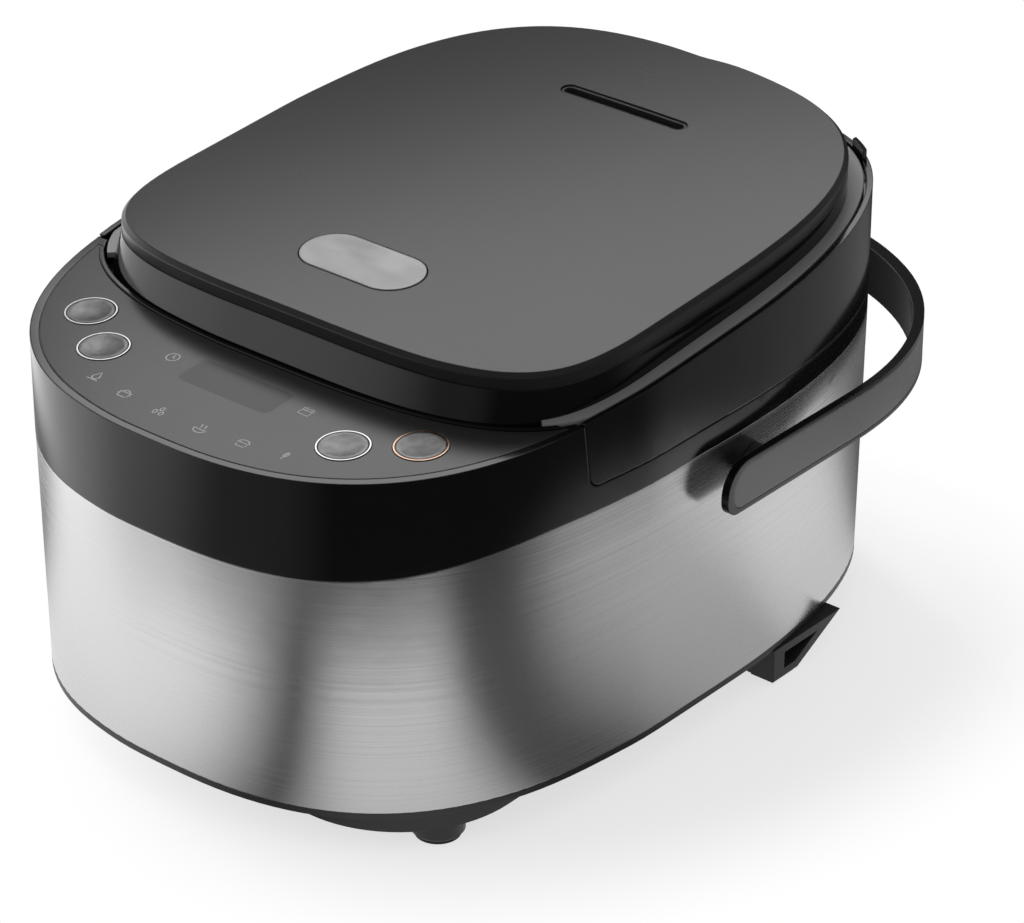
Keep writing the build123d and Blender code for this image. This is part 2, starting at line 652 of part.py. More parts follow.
def heating_element():
    """Tubular heater ring cast into the underside of the plate, with its two terminals."""
    low = POT_BOTTOM_Z - HEATER_T
    ring = Pos(0, POT_Y, low) * Torus(ELEMENT_R, ELEMENT_WIRE_R - RUN_GAP)
    y = POT_Y - ELEMENT_R
    terminal = rod(1.6, WELL_FLOOR_Z + WELL_T + 0.6, low - 1, 12.0, y + 1.2)
    return ring + both_sides(terminal)


def thermostat_sensor():
    """Sprung cap in the middle of the heater that feels the pot's temperature."""
    cap = rod(SENSOR_R, POT_BOTTOM_Z - SENSOR_CAP_T, POT_BOTTOM_Z - RUN_GAP, 0, POT_Y)
    cap -= rod(SENSOR_R - 1.2, POT_BOTTOM_Z - SENSOR_CAP_T - 1, POT_BOTTOM_Z - 2, 0, POT_Y)
    return cap + rod(3.0, POT_BOTTOM_Z - SENSOR_CAP_T - 2, POT_BOTTOM_Z - 1, 0, POT_Y)


def sensor_guide():
    """Cup below the well that holds the thermostat's spring."""
    low = PAN_BOTTOM_Z + PAN_T
    cup = rod(SENSOR_R + 3, low, WELL_FLOOR_Z, 0, POT_Y)
    cup -= rod(SENSOR_R + 1, SENSOR_SPRING_FOOT_Z, WELL_FLOOR_Z + 1, 0, POT_Y)
    return cup


def sensor_spring():
    """Compression spring under the thermostat cap."""
    return coil(SENSOR_R - 4, SENSOR_SPRING_FOOT_Z, POT_BOTTOM_Z - 2.2, 4.0, 0, POT_Y)


def thermal_fuse():
    """Thermal cut-out clipped beneath the heating plate."""
    low = WELL_FLOOR_Z + WELL_T
    body = block((26, 46), (POT_Y - 4, POT_Y + 4), (low, POT_BOTTOM_Z - HEATER_T))
    return body + block((46, 52), (POT_Y - 2, POT_Y + 2), (low + 1, low + 2))


# ================================================================ electrics
def tilted(x, y, drop):
    """Location under the panel's surface at x, y, where the surface lies drop higher."""
    plane = Plane(origin=(x, y, panel_z(y)), x_dir=(1, 0, 0), z_dir=(0, -PANEL_SLOPE, 1))
    return plane.offset(-drop * cos(atan(PANEL_SLOPE))).location


def key_spots():
    """Centres of the four keys, left to right."""
    (out_x, out_y), (in_x, in_y) = KEY_CENTRES
    return [(-out_x, out_y), (-in_x, in_y), (in_x, in_y), (out_x, out_y)]


def panel_key(x, y):
    """A round key with a shallow dish on top and a stem over its switch."""
    rise = 0.3
    key = tilted(x, y, LENS_T + 2.2) * Pos(0, 0, (LENS_T + 2.2 + rise) / 2) * Cylinder(KEY_R, LENS_T + 2.2 + rise)
    stem = tilted(x, y, LENS_T + KEY_STEM_L) * Pos(0, 0, KEY_STEM_L / 2) * Cylinder(KEY_STEM_R, KEY_STEM_L)
    dish = tilted(x, y, 0) * Pos(0, 0, KEY_DISH_R - 0.25) * Sphere(KEY_DISH_R)
    return key + stem - dish


def key_rings():
    """Thin bright rings round the keys."""
    rings = Part()
    for x, y in key_spots():
        height = LENS_T + 0.1
        ring = Cylinder(KEY_RING_R, height) - Cylinder(KEY_RING_R - KEY_RING_T, height + 1)
        rings += tilted(x, y, LENS_T - 0.2) * Pos(0, 0, height / 2) * ring
    return rings


def control_board():
    """Circuit board below the panel, parallel to it."""
    plate = prism(lens_outline(HOUSING_T + 4), PANEL_FRONT_Z - 40, COLLAR_TOP_Z)
    return (plate & above_panel(BOARD_DROP + BOARD_T)) - above_panel(BOARD_DROP)


def key_switches():
    """Push switches on the board, one under each key."""
    switches = Part()
    for x, y in key_spots():
        top = LENS_T + KEY_STEM_L + KEY_TRAVEL + MOVE_GAP
        height = BOARD_DROP - top
        switches += tilted(x, y, BOARD_DROP) * Pos(0, 0, height / 2) * Box(6, 6, height)
    return switches


def display_module():
    """Digit display under the lens, on the board."""
    length = DISPLAY_Y[1] - DISPLAY_Y[0]
    height = BOARD_DROP - LENS_T - FIT_GAP
    y = sum(DISPLAY_Y) / 2
    return tilted(0, y, BOARD_DROP) * Pos(0, 0, height / 2) * Box(
        2 * (DISPLAY_HALF_L - FIT_GAP), length - 2 * FIT_GAP, height)


def light_guides():
    """Clear pegs that carry the board's lights up to the lens."""
    pegs = Part()
    for x, y in LED_SPOTS:
        height = BOARD_DROP - LENS_T - RUN_GAP
        for side in (-1, 1):
            pegs += tilted(side * x, y, BOARD_DROP) * Pos(0, 0, height / 2) * Cylinder(LED_R, height)
    return pegs


def power_board():
    """Upright board behind the well with its transformer, relay and capacitor."""
    width, height = POWER_BOARD_SIZE
    low, high = POWER_BOARD_Z, POWER_BOARD_Z + height
    board = block((-width / 2, width / 2), (POWER_BOARD_Y, POWER_BOARD_Y + BOARD_T), (low, high))
    rear = POWER_BOARD_Y + BOARD_T
    board += block((-44, -18), (rear, rear + 13), (low + 8, low + 34))
    board += block((-10, 8), (rear, rear + 11), (low + 8, low + 24))
    board += Pos(26, rear + 5, low + 30) * Rot(90, 0, 0) * Cylinder(6, 10)
    board += block((14, 44), (rear, rear + 8), (low + 42, low + 54))
    return board


def board_brackets():
    """Two feet that hold the power board on the floor."""
    low = RING_BOTTOM_Z + PAN_T
    post = block((36, 44), (POWER_BOARD_Y - 4, POWER_BOARD_Y), (low - PAN_T, POWER_BOARD_Z + 12))
    post += block((36, 44), (POWER_BOARD_Y - 4, POWER_BOARD_Y + BOARD_T), (POWER_BOARD_Z - 4, POWER_BOARD_Z))
    return both_sides(post)


def inlet_face_y():
    """Where the inlet's flange meets the steel."""
    top = INLET_Z + INLET_H / 2 + INLET_FLANGE
    share = (top - RING_TOP_Z) / (STEEL_TOP_Z - RING_TOP_Z)
    return BODY_SIDE_Y + BODY_REAR_REACH - BODY_FLARE * (1 - share) + FIT_GAP


def mains_inlet():
    """Recessed appliance inlet in the rear wall."""
    face_y = inlet_face_y()
    half_w, half_h = INLET_W / 2, INLET_H / 2
    body = block((-half_w, half_w), (face_y - INLET_DEPTH, face_y), (INLET_Z - half_h, INLET_Z + half_h))
    body += block(
        (-half_w - INLET_FLANGE, half_w + INLET_FLANGE), (face_y, face_y + INLET_FLANGE_T),
        (INLET_Z - half_h - INLET_FLANGE, INLET_Z + half_h + INLET_FLANGE))
    mouth_y = face_y + INLET_FLANGE_T
    socket = block(
        (-SOCKET_W / 2, SOCKET_W / 2), (mouth_y - SOCKET_DEPTH, mouth_y + 1),
        (INLET_Z - SOCKET_H / 2, INLET_Z + SOCKET_H / 2))
    socket = chamfer(socket.edges().filter_by(Axis.Y).group_by(Axis.Z)[-1], 4.0)
    return body - socket


def inlet_pins():
    """The inlet's three flat contacts."""
    floor_y = inlet_face_y() + INLET_FLANGE_T - SOCKET_DEPTH
    pins = Part()
    for x, z in ((-INLET_PIN_PITCH, -2.0), (INLET_PIN_PITCH, -2.0), (0.0, 2.0)):
        pins += block((x - 1, x + 1), (floor_y, floor_y + INLET_PIN_L), (INLET_Z + z - 2, INLET_Z + z + 2))
    return pins


# ================================================================ lid
def lid_solid(inset, high_z=215.0):
    """The lid's outer form without its crown, moved in by inset."""
    skirt = taper(
        lid_face(inset, LID_FRONT_FLARE, LID_SIDE_FLARE), LID_FLARE_FOOT_Z, lid_face(inset), LID_FLARE_TOP_Z)
    return skirt + prism(lid_face(inset), LID_FLARE_TOP_Z, high_z)


def hinge_notches():
    """Room round the collar's hinge ears, cut out of the lid's rear edge."""
    half = EAR_T / 2 + NOTCH_SIDE_GAP
    return both_sides(block(
        (EAR_X - half, EAR_X + half), (HINGE_Y - NOTCH_REACH, SPAN / 2), (150, HINGE_Z + NOTCH_REACH)))


def lid_cover():
    """Crowned glossy top with a bevelled edge, cut out for the button and the vent."""
    cover = (prism(lid_face(), 150, 230) & crown_block()) - crown_block(LID_PART_DROP)
    cover = chamfer(cover.edges().filter_by(lambda edge: is_top_rim(edge)), LID_BEVEL)
    cover -= prism(lid_face(LID_WALL_T), 150, 230) & crown_block(LID_SKIN_T)
    well = prism(Pos(0, BUTTON_Y) * stadium(BUTTON_HALF_L + BUTTON_WELL_T, BUTTON_HALF_W + BUTTON_WELL_T), 150, 230)
    cover += (well & crown_block(LID_SKIN_T / 2)) - crown_block(BUTTON_WELL_DEPTH)
    cover -= prism(Pos(0, BUTTON_Y) * stadium(BUTTON_HALF_L, BUTTON_HALF_W), 150, 230)
    cover -= prism(Pos(0, VENT_Y) * stadium(VENT_HALF_L, VENT_HALF_W), 150, 230)
    for x, y in lid_screw_spots():
        boss = rod(3.6, 150, 230, x, y) & crown_block(LID_SKIN_T / 2)
        boss &= above_slope(COLLAR_TOP_Z - FLANGE_DROP + RUN_GAP, COLLAR_TOP_SLOPE)
        bore = rod(1.5, 150, 230, x, y) & crown_block(LID_SKIN_T + FIT_GAP)
        cover += both_sides(boss)
        cover -= both_sides(bore)
    return cover


def is_top_rim(edge):
    """True for an edge of the lid's top that lies on the crown's surface."""
    middle = edge @ 0.5
    crown = CROWN_Z + CROWN_SLOPE * middle.Y
    crown -= middle.X ** 2 / (2 * CROWN_RADIUS_X)
    return abs(middle.Z - crown) < LID_BEVEL / 2


def lid_screw_spots():
    """Right-hand places of the screws that join the lid's top and liner."""
    return ((104.0, -62.0), (96.0, 84.0))


def flange_zone(grow=0.0):
    """Height band of the lid's light flange, which follows the collar's top."""
    return slope_slab(COLLAR_TOP_Z - FLANGE_DROP + grow, COLLAR_TOP_SLOPE, FLANGE_T + grow)


def lid_shell():
    """Glossy black side wall of the lid with the hinge knuckles inside its rear."""
    foot = above_slope(COLLAR_TOP_Z - FLANGE_DROP - FLANGE_T, COLLAR_TOP_SLOPE)
    wall = (lid_solid(0.0) - lid_solid(LID_WALL_T)) & foot & crown_block(LID_PART_DROP + RUN_GAP)
    wall -= flange_ring(0.0, RUN_GAP)
    half = EAR_T / 2 + NOTCH_SIDE_GAP + KNUCKLE_T
    knuckle = cross_rod(KNUCKLE_R, EAR_X - half, EAR_X + half, HINGE_Y, HINGE_Z)
    knuckle += block(
        (EAR_X - half, EAR_X + half), (HINGE_Y - NOTCH_REACH - KNUCKLE_RIB_T, HINGE_Y),
        (HINGE_Z - KNUCKLE_R, HINGE_Z + KNUCKLE_R))
    knuckle &= crown_block(LID_PART_DROP + RUN_GAP)
    knuckle &= above_slope(COLLAR_TOP_Z - FLANGE_DROP + RUN_GAP, COLLAR_TOP_SLOPE)
    wall += both_sides(knuckle)
    wall -= hinge_notches()
    return wall - both_sides(cross_rod(HINGE_PIN_R + RUN_GAP, EAR_X - 40, EAR_X + 40, HINGE_Y, HINGE_Z))


def flange_ring(side_gap, grow):
    """The flange that stands out below the lid's side wall, from its blunt end to the rear."""
    outer = body_face(COLLAR_RIM_T + FLANGE_GAP) & opening_face(OPENING_LIP_IN + FLANGE_GAP)
    ring = prism(outer, 150, 210) - prism(lid_face(LID_WALL_T + FIT_GAP + 1.0), 149, 211)
    ring &= flange_zone(grow)
    x, y = FLANGE_END
    turn = radians(FLANGE_END_TURN)
    along, across = (cos(turn), -sin(turn)), (-sin(turn), -cos(turn))
    reach = SPAN / 2
    corner = [
        (x - along[0] * reach, y - along[1] * reach),
        (x + along[0] * reach, y + along[1] * reach),
        (x + along[0] * reach + across[0] * reach, y + along[1] * reach + across[1] * reach),
        (x - along[0] * reach + across[0] * reach, y - along[1] * reach + across[1] * reach),
    ]
    right = (ring - prism(make_face(Polyline(*corner, close=True)), 140, 220)) & block(
        (-side_gap, reach), (-reach, reach), (140, 220))
    return both_sides(right)


def lid_liner():
    """Light plastic underside of the lid: sloping plate, flange and a cup over the pot."""
    top_z = COLLAR_TOP_Z - FLANGE_DROP
    plate = prism(lid_face(LID_WALL_T + FIT_GAP), 150, 210) & flange_zone()
    plate += flange_ring(0.0, 0.0)
    plate -= rod(LINER_CUP_R - LINER_CUP_T, 150, 210, 0, POT_Y)
    cup = rod(LINER_CUP_R, LINER_FLOOR_Z, 210, 0, POT_Y) - above_slope(top_z, COLLAR_TOP_SLOPE)
    cup -= rod(LINER_CUP_R - LINER_CUP_T, LINER_FLOOR_Z + LINER_FLOOR_T, 210, 0, POT_Y)
    cup &= prism(lid_face(LID_WALL_T + FIT_GAP), 150, 210)
    liner = plate + cup
    for side in (-1, 1):
        seat = rod(BUTTON_SPRING_R + 1.6, LINER_FLOOR_Z, LATCH_PLATE_Z + 1, side * BUTTON_SPRING_X, BUTTON_Y)
        liner += seat
    liner -= prism(Pos(0, VENT_Y) * stadium(VENT_HALF_L - 4, VENT_HALF_W - 0.6), 150, 180)
    slot_y = (LATCH_NOSE_Y - 1.6, LATCH_BLADE_Y + BUTTON_TRAVEL + 1.4)
    liner -= block((-LATCH_HALF_W - 1, LATCH_HALF_W + 1), slot_y, (150, 180))
    for x, y in lid_screw_spots():
        liner -= both_sides(rod(1.5, 150, 210, x, y))
    return liner - hinge_notches()


def lid_screws():
    """Screws from the lid's underside into the cover's bosses."""
    screws = Part()
    for x, y in lid_screw_spots():
        seat = COLLAR_TOP_Z - FLANGE_DROP - FLANGE_T + COLLAR_TOP_SLOPE * (y - 3)
        shank = rod(1.5 - RUN_GAP, seat - 1, 230, x, y) & crown_block(LID_SKIN_T + 1.0)
        screws += both_sides(rod(2.8, seat - 1.6, seat - RUN_GAP, x, y) + shank)
    return screws


def inner_lid():
    """Removable metal plate under the lid, with steam holes below the vent."""
    plate = rod(INNER_LID_R, INNER_LID_Z, INNER_LID_Z + INNER_LID_T, 0, POT_Y)
    for index in range(5):
        plate -= rod(2.2, 150, 180, (index - 2) * 10.0, VENT_Y - 22)
    return plate + rod(9, INNER_LID_Z + INNER_LID_T, LINER_FLOOR_Z - RUN_GAP, 0, POT_Y)


def inner_lid_seal():
    """Silicone ring round the inner lid that closes on the pot's rim."""
    low, high = POT_RIM_Z + SEAL_GAP, LINER_FLOOR_Z - RUN_GAP
    ring = rod(SEAL_OUT_R, low, high, 0, POT_Y) - rod(SEAL_IN_R, low - 1, high + 1, 0, POT_Y)
    groove = rod(INNER_LID_R + RUN_GAP, INNER_LID_Z - RUN_GAP, INNER_LID_Z + INNER_LID_T + RUN_GAP, 0, POT_Y)
    return ring - groove


def steam_duct():
    """Oval tube from the inner lid's cavity up to the vent."""
    half_l, half_w = VENT_HALF_L + MOVE_GAP, VENT_HALF_W + MOVE_GAP
    tube = stadium(half_l + DUCT_T, half_w + DUCT_T) - stadium(half_l, half_w)
    duct = prism(Pos(0, VENT_Y) * tube, LINER_FLOOR_Z + LINER_FLOOR_T, 230)
    return duct & crown_block(LID_SKIN_T + RUN_GAP)


def vent_cap():
    """Lift-out vent insert with an open slot and a slotted floor."""
    half_l, half_w = VENT_HALF_L - MOVE_GAP, VENT_HALF_W - MOVE_GAP
    outer = prism(Pos(0, VENT_Y) * stadium(half_l, half_w), 150, 230)
    cap = (outer & crown_block(VENT_SINK)) - crown_block(VENT_SINK + VENT_CAP_H)
    slot = prism(Pos(0, VENT_Y) * stadium(half_l - VENT_CAP_T, half_w - VENT_CAP_T), 150, 230)
    cap -= slot - crown_block(VENT_SINK + VENT_CAP_H - VENT_FLOOR_T)
    for index in range(5):
        cap -= rod(1.4, 150, 230, (index - 2) * 10.0, VENT_Y)
    return cap


def lid_button():
    """Satin oval push button with a wedge that drives the latch."""
    half_l, half_w = BUTTON_HALF_L - MOVE_GAP - FIT_GAP, BUTTON_HALF_W - MOVE_GAP - FIT_GAP
    cap = prism(Pos(0, BUTTON_Y) * stadium(half_l, half_w), 150, 230)
    cap = (cap & crown_block(-0.2)) - crown_block(BUTTON_T)
    skirt = prism(Pos(0, BUTTON_Y) * (stadium(half_l, half_w) - stadium(half_l - 1.6, half_w - 1.6)), 150, 230)
    cap += (skirt & crown_block(BUTTON_T / 2)) - crown_block(BUTTON_T + 3.0)
    half = BUTTON_STEM_W / 2
    wedge_y = (BUTTON_Y - 4.0, BUTTON_Y + 4.0)
    depth = wedge_y[1] - wedge_y[0]
    wedge_top = crown_z(BUTTON_Y) - 1.5
    wedge = side_prism(make_face(Polyline(
        (wedge_y[0], wedge_top), (wedge_y[0], BUTTON_FOOT_Z), (wedge_y[0] + 1, BUTTON_FOOT_Z),
        (wedge_y[1], BUTTON_FOOT_Z + depth - 1), (wedge_y[1], wedge_top), close=True)), -half, half)
    return cap + wedge


def button_springs():
    """Pair of springs that return the lid button."""
    springs = Part()
    for side in (-1, 1):
        springs += coil(
            BUTTON_SPRING_R, LATCH_PLATE_Z + 1, crown_z(BUTTON_Y) - BUTTON_T - 0.4, 2.6,
            side * BUTTON_SPRING_X, BUTTON_Y)
    return springs


def crown_z(y):
    """Height of the lid's top on its middle line."""
    return CROWN_Z + CROWN_SLOPE * y


def latch_slider():
    """Sliding latch: plate, ramp under the button and hook at the lid's front."""
    top = LATCH_PLATE_Z + LATCH_PLATE_T
    ramp_gap = 0.5
    ramp_y = BUTTON_Y - 4.0 + 1 + ramp_gap * 2 ** 0.5
    rear_y = ramp_y + 12
    plate = block((-LATCH_HALF_W, LATCH_HALF_W), (LATCH_BLADE_Y, rear_y), (LATCH_PLATE_Z, top))
    ramp_rise = BUTTON_FOOT_Z - top
    ramp = side_prism(make_face(Polyline(
        (ramp_y - ramp_rise, top - 0.5), (ramp_y + LATCH_RAMP_H, top - 0.5),
        (ramp_y + LATCH_RAMP_H, BUTTON_FOOT_Z + LATCH_RAMP_H),
        (ramp_y, BUTTON_FOOT_Z), (ramp_y - ramp_rise, top), close=True)), -BUTTON_STEM_W / 2, BUTTON_STEM_W / 2)
    blade = block((-LATCH_HALF_W, LATCH_HALF_W), (LATCH_BLADE_Y - LATCH_BLADE_T, LATCH_BLADE_Y), (LATCH_NOSE_Z, top))
    nose = side_prism(make_face(Polyline(
        (LATCH_BLADE_Y, LATCH_NOSE_Z), (LATCH_NOSE_Y + 1.2, LATCH_NOSE_Z), (LATCH_NOSE_Y, LATCH_NOSE_Z + 1.0),
        (LATCH_NOSE_Y, LATCH_NOSE_Z + LATCH_NOSE_T), (LATCH_BLADE_Y, LATCH_NOSE_Z + LATCH_NOSE_T), close=True)),
        -LATCH_HALF_W, LATCH_HALF_W)
    return plate + ramp + blade + nose


def latch_catch():
    """Steel catch strip on the opening's front wall."""
    wall_y = OPENING_SIDE_Y - OPENING_REACH + OPENING_LIP_IN + RUN_GAP
    half = LATCH_HALF_W + 3
    hook = block((-half, half), (wall_y, CATCH_EDGE_Y), (CATCH_Z, CATCH_Z + 1.0))
    hook += block((-half, half), (wall_y, wall_y + 0.8), (DECK_TOP_Z, CATCH_Z + 1.0))
    return hook & prism(opening_face(OPENING_LIP_IN + RUN_GAP), 150, 180)


def hinge_pins():
    """Steel pins through the ears and the lid's knuckles."""
    half = EAR_T / 2 + NOTCH_SIDE_GAP + KNUCKLE_T - 0.5
    return both_sides(cross_rod(HINGE_PIN_R, EAR_X - half, EAR_X + half, HINGE_Y, HINGE_Z))


# ================================================================ handle
def handle_outline(inset, rear_inset=None):
    """U-shaped plan of the handle's outer surface, moved in at the sides and rear and closed at the front."""
    half = ARM_OUT_X - inset
    reach = HANDLE_REACH - ARM_BEND_Y - (inset if rear_inset is None else rear_inset)
    right = [(x, ARM_BEND_Y + y) for x, y in quarter(half, reach, HANDLE_POWERS)]
    left = [(-x, y) for x, y in right]
    edges = [
        Line((half, ARM_FRONT_Y), (half, ARM_BEND_Y)),
        Spline(*right, tangents=((0, 1), (-1, 0))),
        Spline(*left[::-1], tangents=((-1, 0), (0, -1))),
        Polyline((-half, ARM_BEND_Y), (-half, ARM_FRONT_Y), (half, ARM_FRONT_Y)),
    ]
    return make_face(Curve() + edges)


def arm_side_view(border, front_y):
    """Side view of the arm, with a large upper and a small lower front corner."""
    half = ARM_H / 2 - border
    low, high = ARM_MID_Z - half, ARM_MID_Z + half
    upper, lower = 0.62 * 2 * half, 0.3 * 2 * half
    return make_face(Curve() + [
        Line((SPAN / 2, low), (front_y + lower, low)),
        TangentArc((front_y + lower, low), (front_y, low + lower), tangent=(-1, 0)),
        Line((front_y, low + lower), (front_y, high - upper)),
        TangentArc((front_y, high - upper), (front_y + upper, high), tangent=(0, 1)),
        Polyline((front_y + upper, high), (SPAN / 2, high), (SPAN / 2, low)),
    ])


def handle_frame():
    """Glossy black U-shaped handle with a bearing hole inside each arm."""
    low, high = ARM_MID_Z - ARM_H, ARM_MID_Z + ARM_H
    frame = prism(handle_outline(0.0) - handle_outline(ARM_FRONT_T, ARM_REAR_T), low, high)
    frame &= side_prism(arm_side_view(0.0, ARM_FRONT_Y))
    recess = prism(handle_outline(-1.0) - handle_outline(FACING_T), low, high)
    frame -= recess & side_prism(arm_side_view(FACING_BORDER, FACING_FRONT_Y))
    inner_x = ARM_OUT_X - ARM_FRONT_T - HUB_L
    hub = cross_rod(MOUNT_R, inner_x, inner_x + HUB_L + 1, PIVOT_Y, ARM_MID_Z)
    bore = cross_rod(PIVOT_R + RUN_GAP, inner_x - 1, inner_x + PIVOT_L, PIVOT_Y, ARM_MID_Z)
    return frame + both_sides(hub) - both_sides(bore)


def handle_facing():
    """Satin grey facing let into the handle's outer surface."""
    low, high = ARM_MID_Z - ARM_H, ARM_MID_Z + ARM_H
    strip = prism(handle_outline(0.0) - handle_outline(FACING_T - RUN_GAP), low, high)
    return strip & side_prism(arm_side_view(FACING_BORDER + RUN_GAP, FACING_FRONT_Y + RUN_GAP))


def handle_mounts():
    """Round mounts on the body's sides with the shafts that the handle turns on."""
    inner_x = ARM_OUT_X - ARM_FRONT_T - HUB_L
    wall_x = BODY_HALF_WIDTH
    disc = cross_rod(MOUNT_R, wall_x - 0.1, inner_x - MOUNT_STEP, PIVOT_Y, ARM_MID_Z)
    steel = taper(body_face(BODY_FLARE - FIT_GAP), RING_TOP_Z, body_face(-FIT_GAP), STEEL_TOP_Z)
    disc -= steel
    shaft = cross_rod(PIVOT_R, wall_x - STEEL_T - 3, inner_x + PIVOT_L - 0.4, PIVOT_Y, ARM_MID_Z)
    nut = cross_rod(NUT_R, wall_x - STEEL_T - 5, wall_x - STEEL_T - 1.2, PIVOT_Y, ARM_MID_Z)
    return both_sides(disc + shaft + nut)


# ================================================================ output
def nodes():
    """Every sub-part by its name."""
    parts = {
        "base_pan": base_pan(),
        "base_screws": base_screws(),
        "front_feet": round_feet(FRONT_FEET),
        "rear_feet": round_feet(REAR_FEET),
        "side_feet": side_feet(),
        "foot_pads": foot_pads(),
        "steel_band": steel_band(),
        "front_housing": front_housing(),
        "panel_lens": panel_lens(),
        "rear_collar": rear_collar(),
        "top_deck": top_deck(),
        "inner_well": inner_well(),
        "inner_pot": inner_pot(),
        "heating_plate": heating_plate(),
        "heating_element": heating_element(),
        "thermostat_sensor": thermostat_sensor(),
        "sensor_guide": sensor_guide(),
        "sensor_spring": sensor_spring(),
        "thermal_fuse": thermal_fuse(),
        "key_rings": key_rings(),
        "control_board": control_board(),
        "key_switches": key_switches(),
        "display_module": display_module(),
        "light_guides": light_guides(),
        "power_board": power_board(),
        "board_brackets": board_brackets(),
        "mains_inlet": mains_inlet(),
        "inlet_pins": inlet_pins(),
        "lid_cover": lid_cover(),
        "lid_shell": lid_shell(),
        "lid_liner": lid_liner(),
        "lid_screws": lid_screws(),
        "inner_lid": inner_lid(),
        "inner_lid_seal": inner_lid_seal(),
        "steam_duct": steam_duct(),
        "vent_cap": vent_cap(),
        "lid_button": lid_button(),
        "button_springs": button_springs(),
        "latch_slider": latch_slider(),
        "latch_catch": latch_catch(),
        "hinge_pins": hinge_pins(),
        "handle_frame": handle_frame(),
        "handle_facing": handle_facing(),
        "handle_mounts": handle_mounts(),
    }
    for index, (x, y) in enumerate(key_spots(), start=1):
        parts[f"panel_key_{index}"] = panel_key(x, y)
    return parts


os.makedirs("parts", exist_ok=True)
for name, part in nodes().items():
    export_step(part, f"parts/{name}.step")
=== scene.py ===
"""Looks of a rice cooker: brushed steel band, glossy black casing, crowned lid and its carrying handle."""

import json
from math import cos, radians, sin

import bpy
import numpy as np
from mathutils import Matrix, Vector

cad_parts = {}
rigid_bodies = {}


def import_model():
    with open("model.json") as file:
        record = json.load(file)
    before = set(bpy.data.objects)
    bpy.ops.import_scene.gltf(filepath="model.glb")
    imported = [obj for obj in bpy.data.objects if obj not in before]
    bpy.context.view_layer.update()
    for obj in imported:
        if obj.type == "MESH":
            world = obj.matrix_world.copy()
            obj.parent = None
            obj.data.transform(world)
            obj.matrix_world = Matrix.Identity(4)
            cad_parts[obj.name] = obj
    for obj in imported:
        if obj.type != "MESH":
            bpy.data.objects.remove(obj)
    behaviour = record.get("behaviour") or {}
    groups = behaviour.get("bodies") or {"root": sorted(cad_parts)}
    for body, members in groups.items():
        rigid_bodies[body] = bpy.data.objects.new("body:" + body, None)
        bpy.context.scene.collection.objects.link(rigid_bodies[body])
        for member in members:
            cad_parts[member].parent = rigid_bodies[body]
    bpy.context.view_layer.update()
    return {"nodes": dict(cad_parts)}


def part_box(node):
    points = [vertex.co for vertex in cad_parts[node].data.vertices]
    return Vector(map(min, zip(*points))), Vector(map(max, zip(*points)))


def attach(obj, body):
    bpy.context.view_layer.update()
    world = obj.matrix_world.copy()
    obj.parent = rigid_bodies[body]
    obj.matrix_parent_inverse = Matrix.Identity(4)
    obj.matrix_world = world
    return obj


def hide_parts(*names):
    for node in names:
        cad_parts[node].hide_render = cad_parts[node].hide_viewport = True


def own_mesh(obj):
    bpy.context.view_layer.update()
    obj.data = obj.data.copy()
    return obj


for leftover in list(bpy.data.objects):
    bpy.data.objects.remove(leftover)

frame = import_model()
nodes = frame["nodes"]


# ---------------------------------------------------------------- camera and studio
LENS = 150.34                  # mm, on a sensor 36 mm wide
CAMERA_PLACE = (1.01418, -1.18680, 0.92868)
CAMERA_DOWN = 28.761           # degrees below level
CAMERA_TURN = 40.083           # degrees round from the front towards +X


def place_camera():
    """A long lens, above the cooker's front right corner."""
    data = bpy.data.cameras.new("studio_camera")
    data.lens = LENS
    data.sensor_width = 36.0
    data.sensor_fit = "HORIZONTAL"
    data.clip_end = 50.0
    camera = bpy.data.objects.new("studio_camera", data)
    camera.location = CAMERA_PLACE
    camera.rotation_euler = (radians(90.0 - CAMERA_DOWN), 0.0, radians(CAMERA_TURN))
    bpy.context.scene.collection.objects.link(camera)
    bpy.context.scene.camera = camera


def softbox(name, place, target, size, power, reflected=True):
    """A rectangular area lamp at place that faces target."""
    lamp = bpy.data.lights.new(name, "AREA")
    lamp.shape = "RECTANGLE"
    lamp.size = size[0]
    lamp.size_y = size[1]
    lamp.energy = power
    holder = bpy.data.objects.new(name, lamp)
    holder.visible_glossy = reflected
    holder.location = place
    holder.rotation_euler = (Vector(target) - Vector(place)).to_track_quat("-Z", "Y").to_euler()
    bpy.context.scene.collection.objects.link(holder)


class Wiring:
    """Short calls for putting nodes into a material, world or group."""

    def __init__(self, tree):
        self.tree = tree

    def node(self, kind, **settings):
        """A node of a kind, with its plain properties set."""
        made = self.tree.nodes.new(kind)
        for name, value in settings.items():
            setattr(made, name, value)
        return made

    def put(self, node, socket, value):
        """Sets an input to a value, or links it to another node's output."""
        target = node.inputs[socket]
        if isinstance(value, bpy.types.NodeSocket):
            self.tree.links.new(value, target)
        else:
            target.default_value = value
        return node

    def math(self, operation, first, second=0.0, clamp=False):
        """One arithmetic step."""
        step = self.node("ShaderNodeMath", operation=operation, use_clamp=clamp)
        self.put(step, 0, first)
        self.put(step, 1, second)
        return step.outputs[0]

    def ramp(self, value, low, high, to_low, to_high):
        """Smooth change from one value to another as the input goes from low to high."""
        step = self.node("ShaderNodeMapRange", interpolation_type="SMOOTHSTEP")
        for socket, number in enumerate((value, low, high, to_low, to_high)):
            self.put(step, socket, number)
        return step.outputs[0]


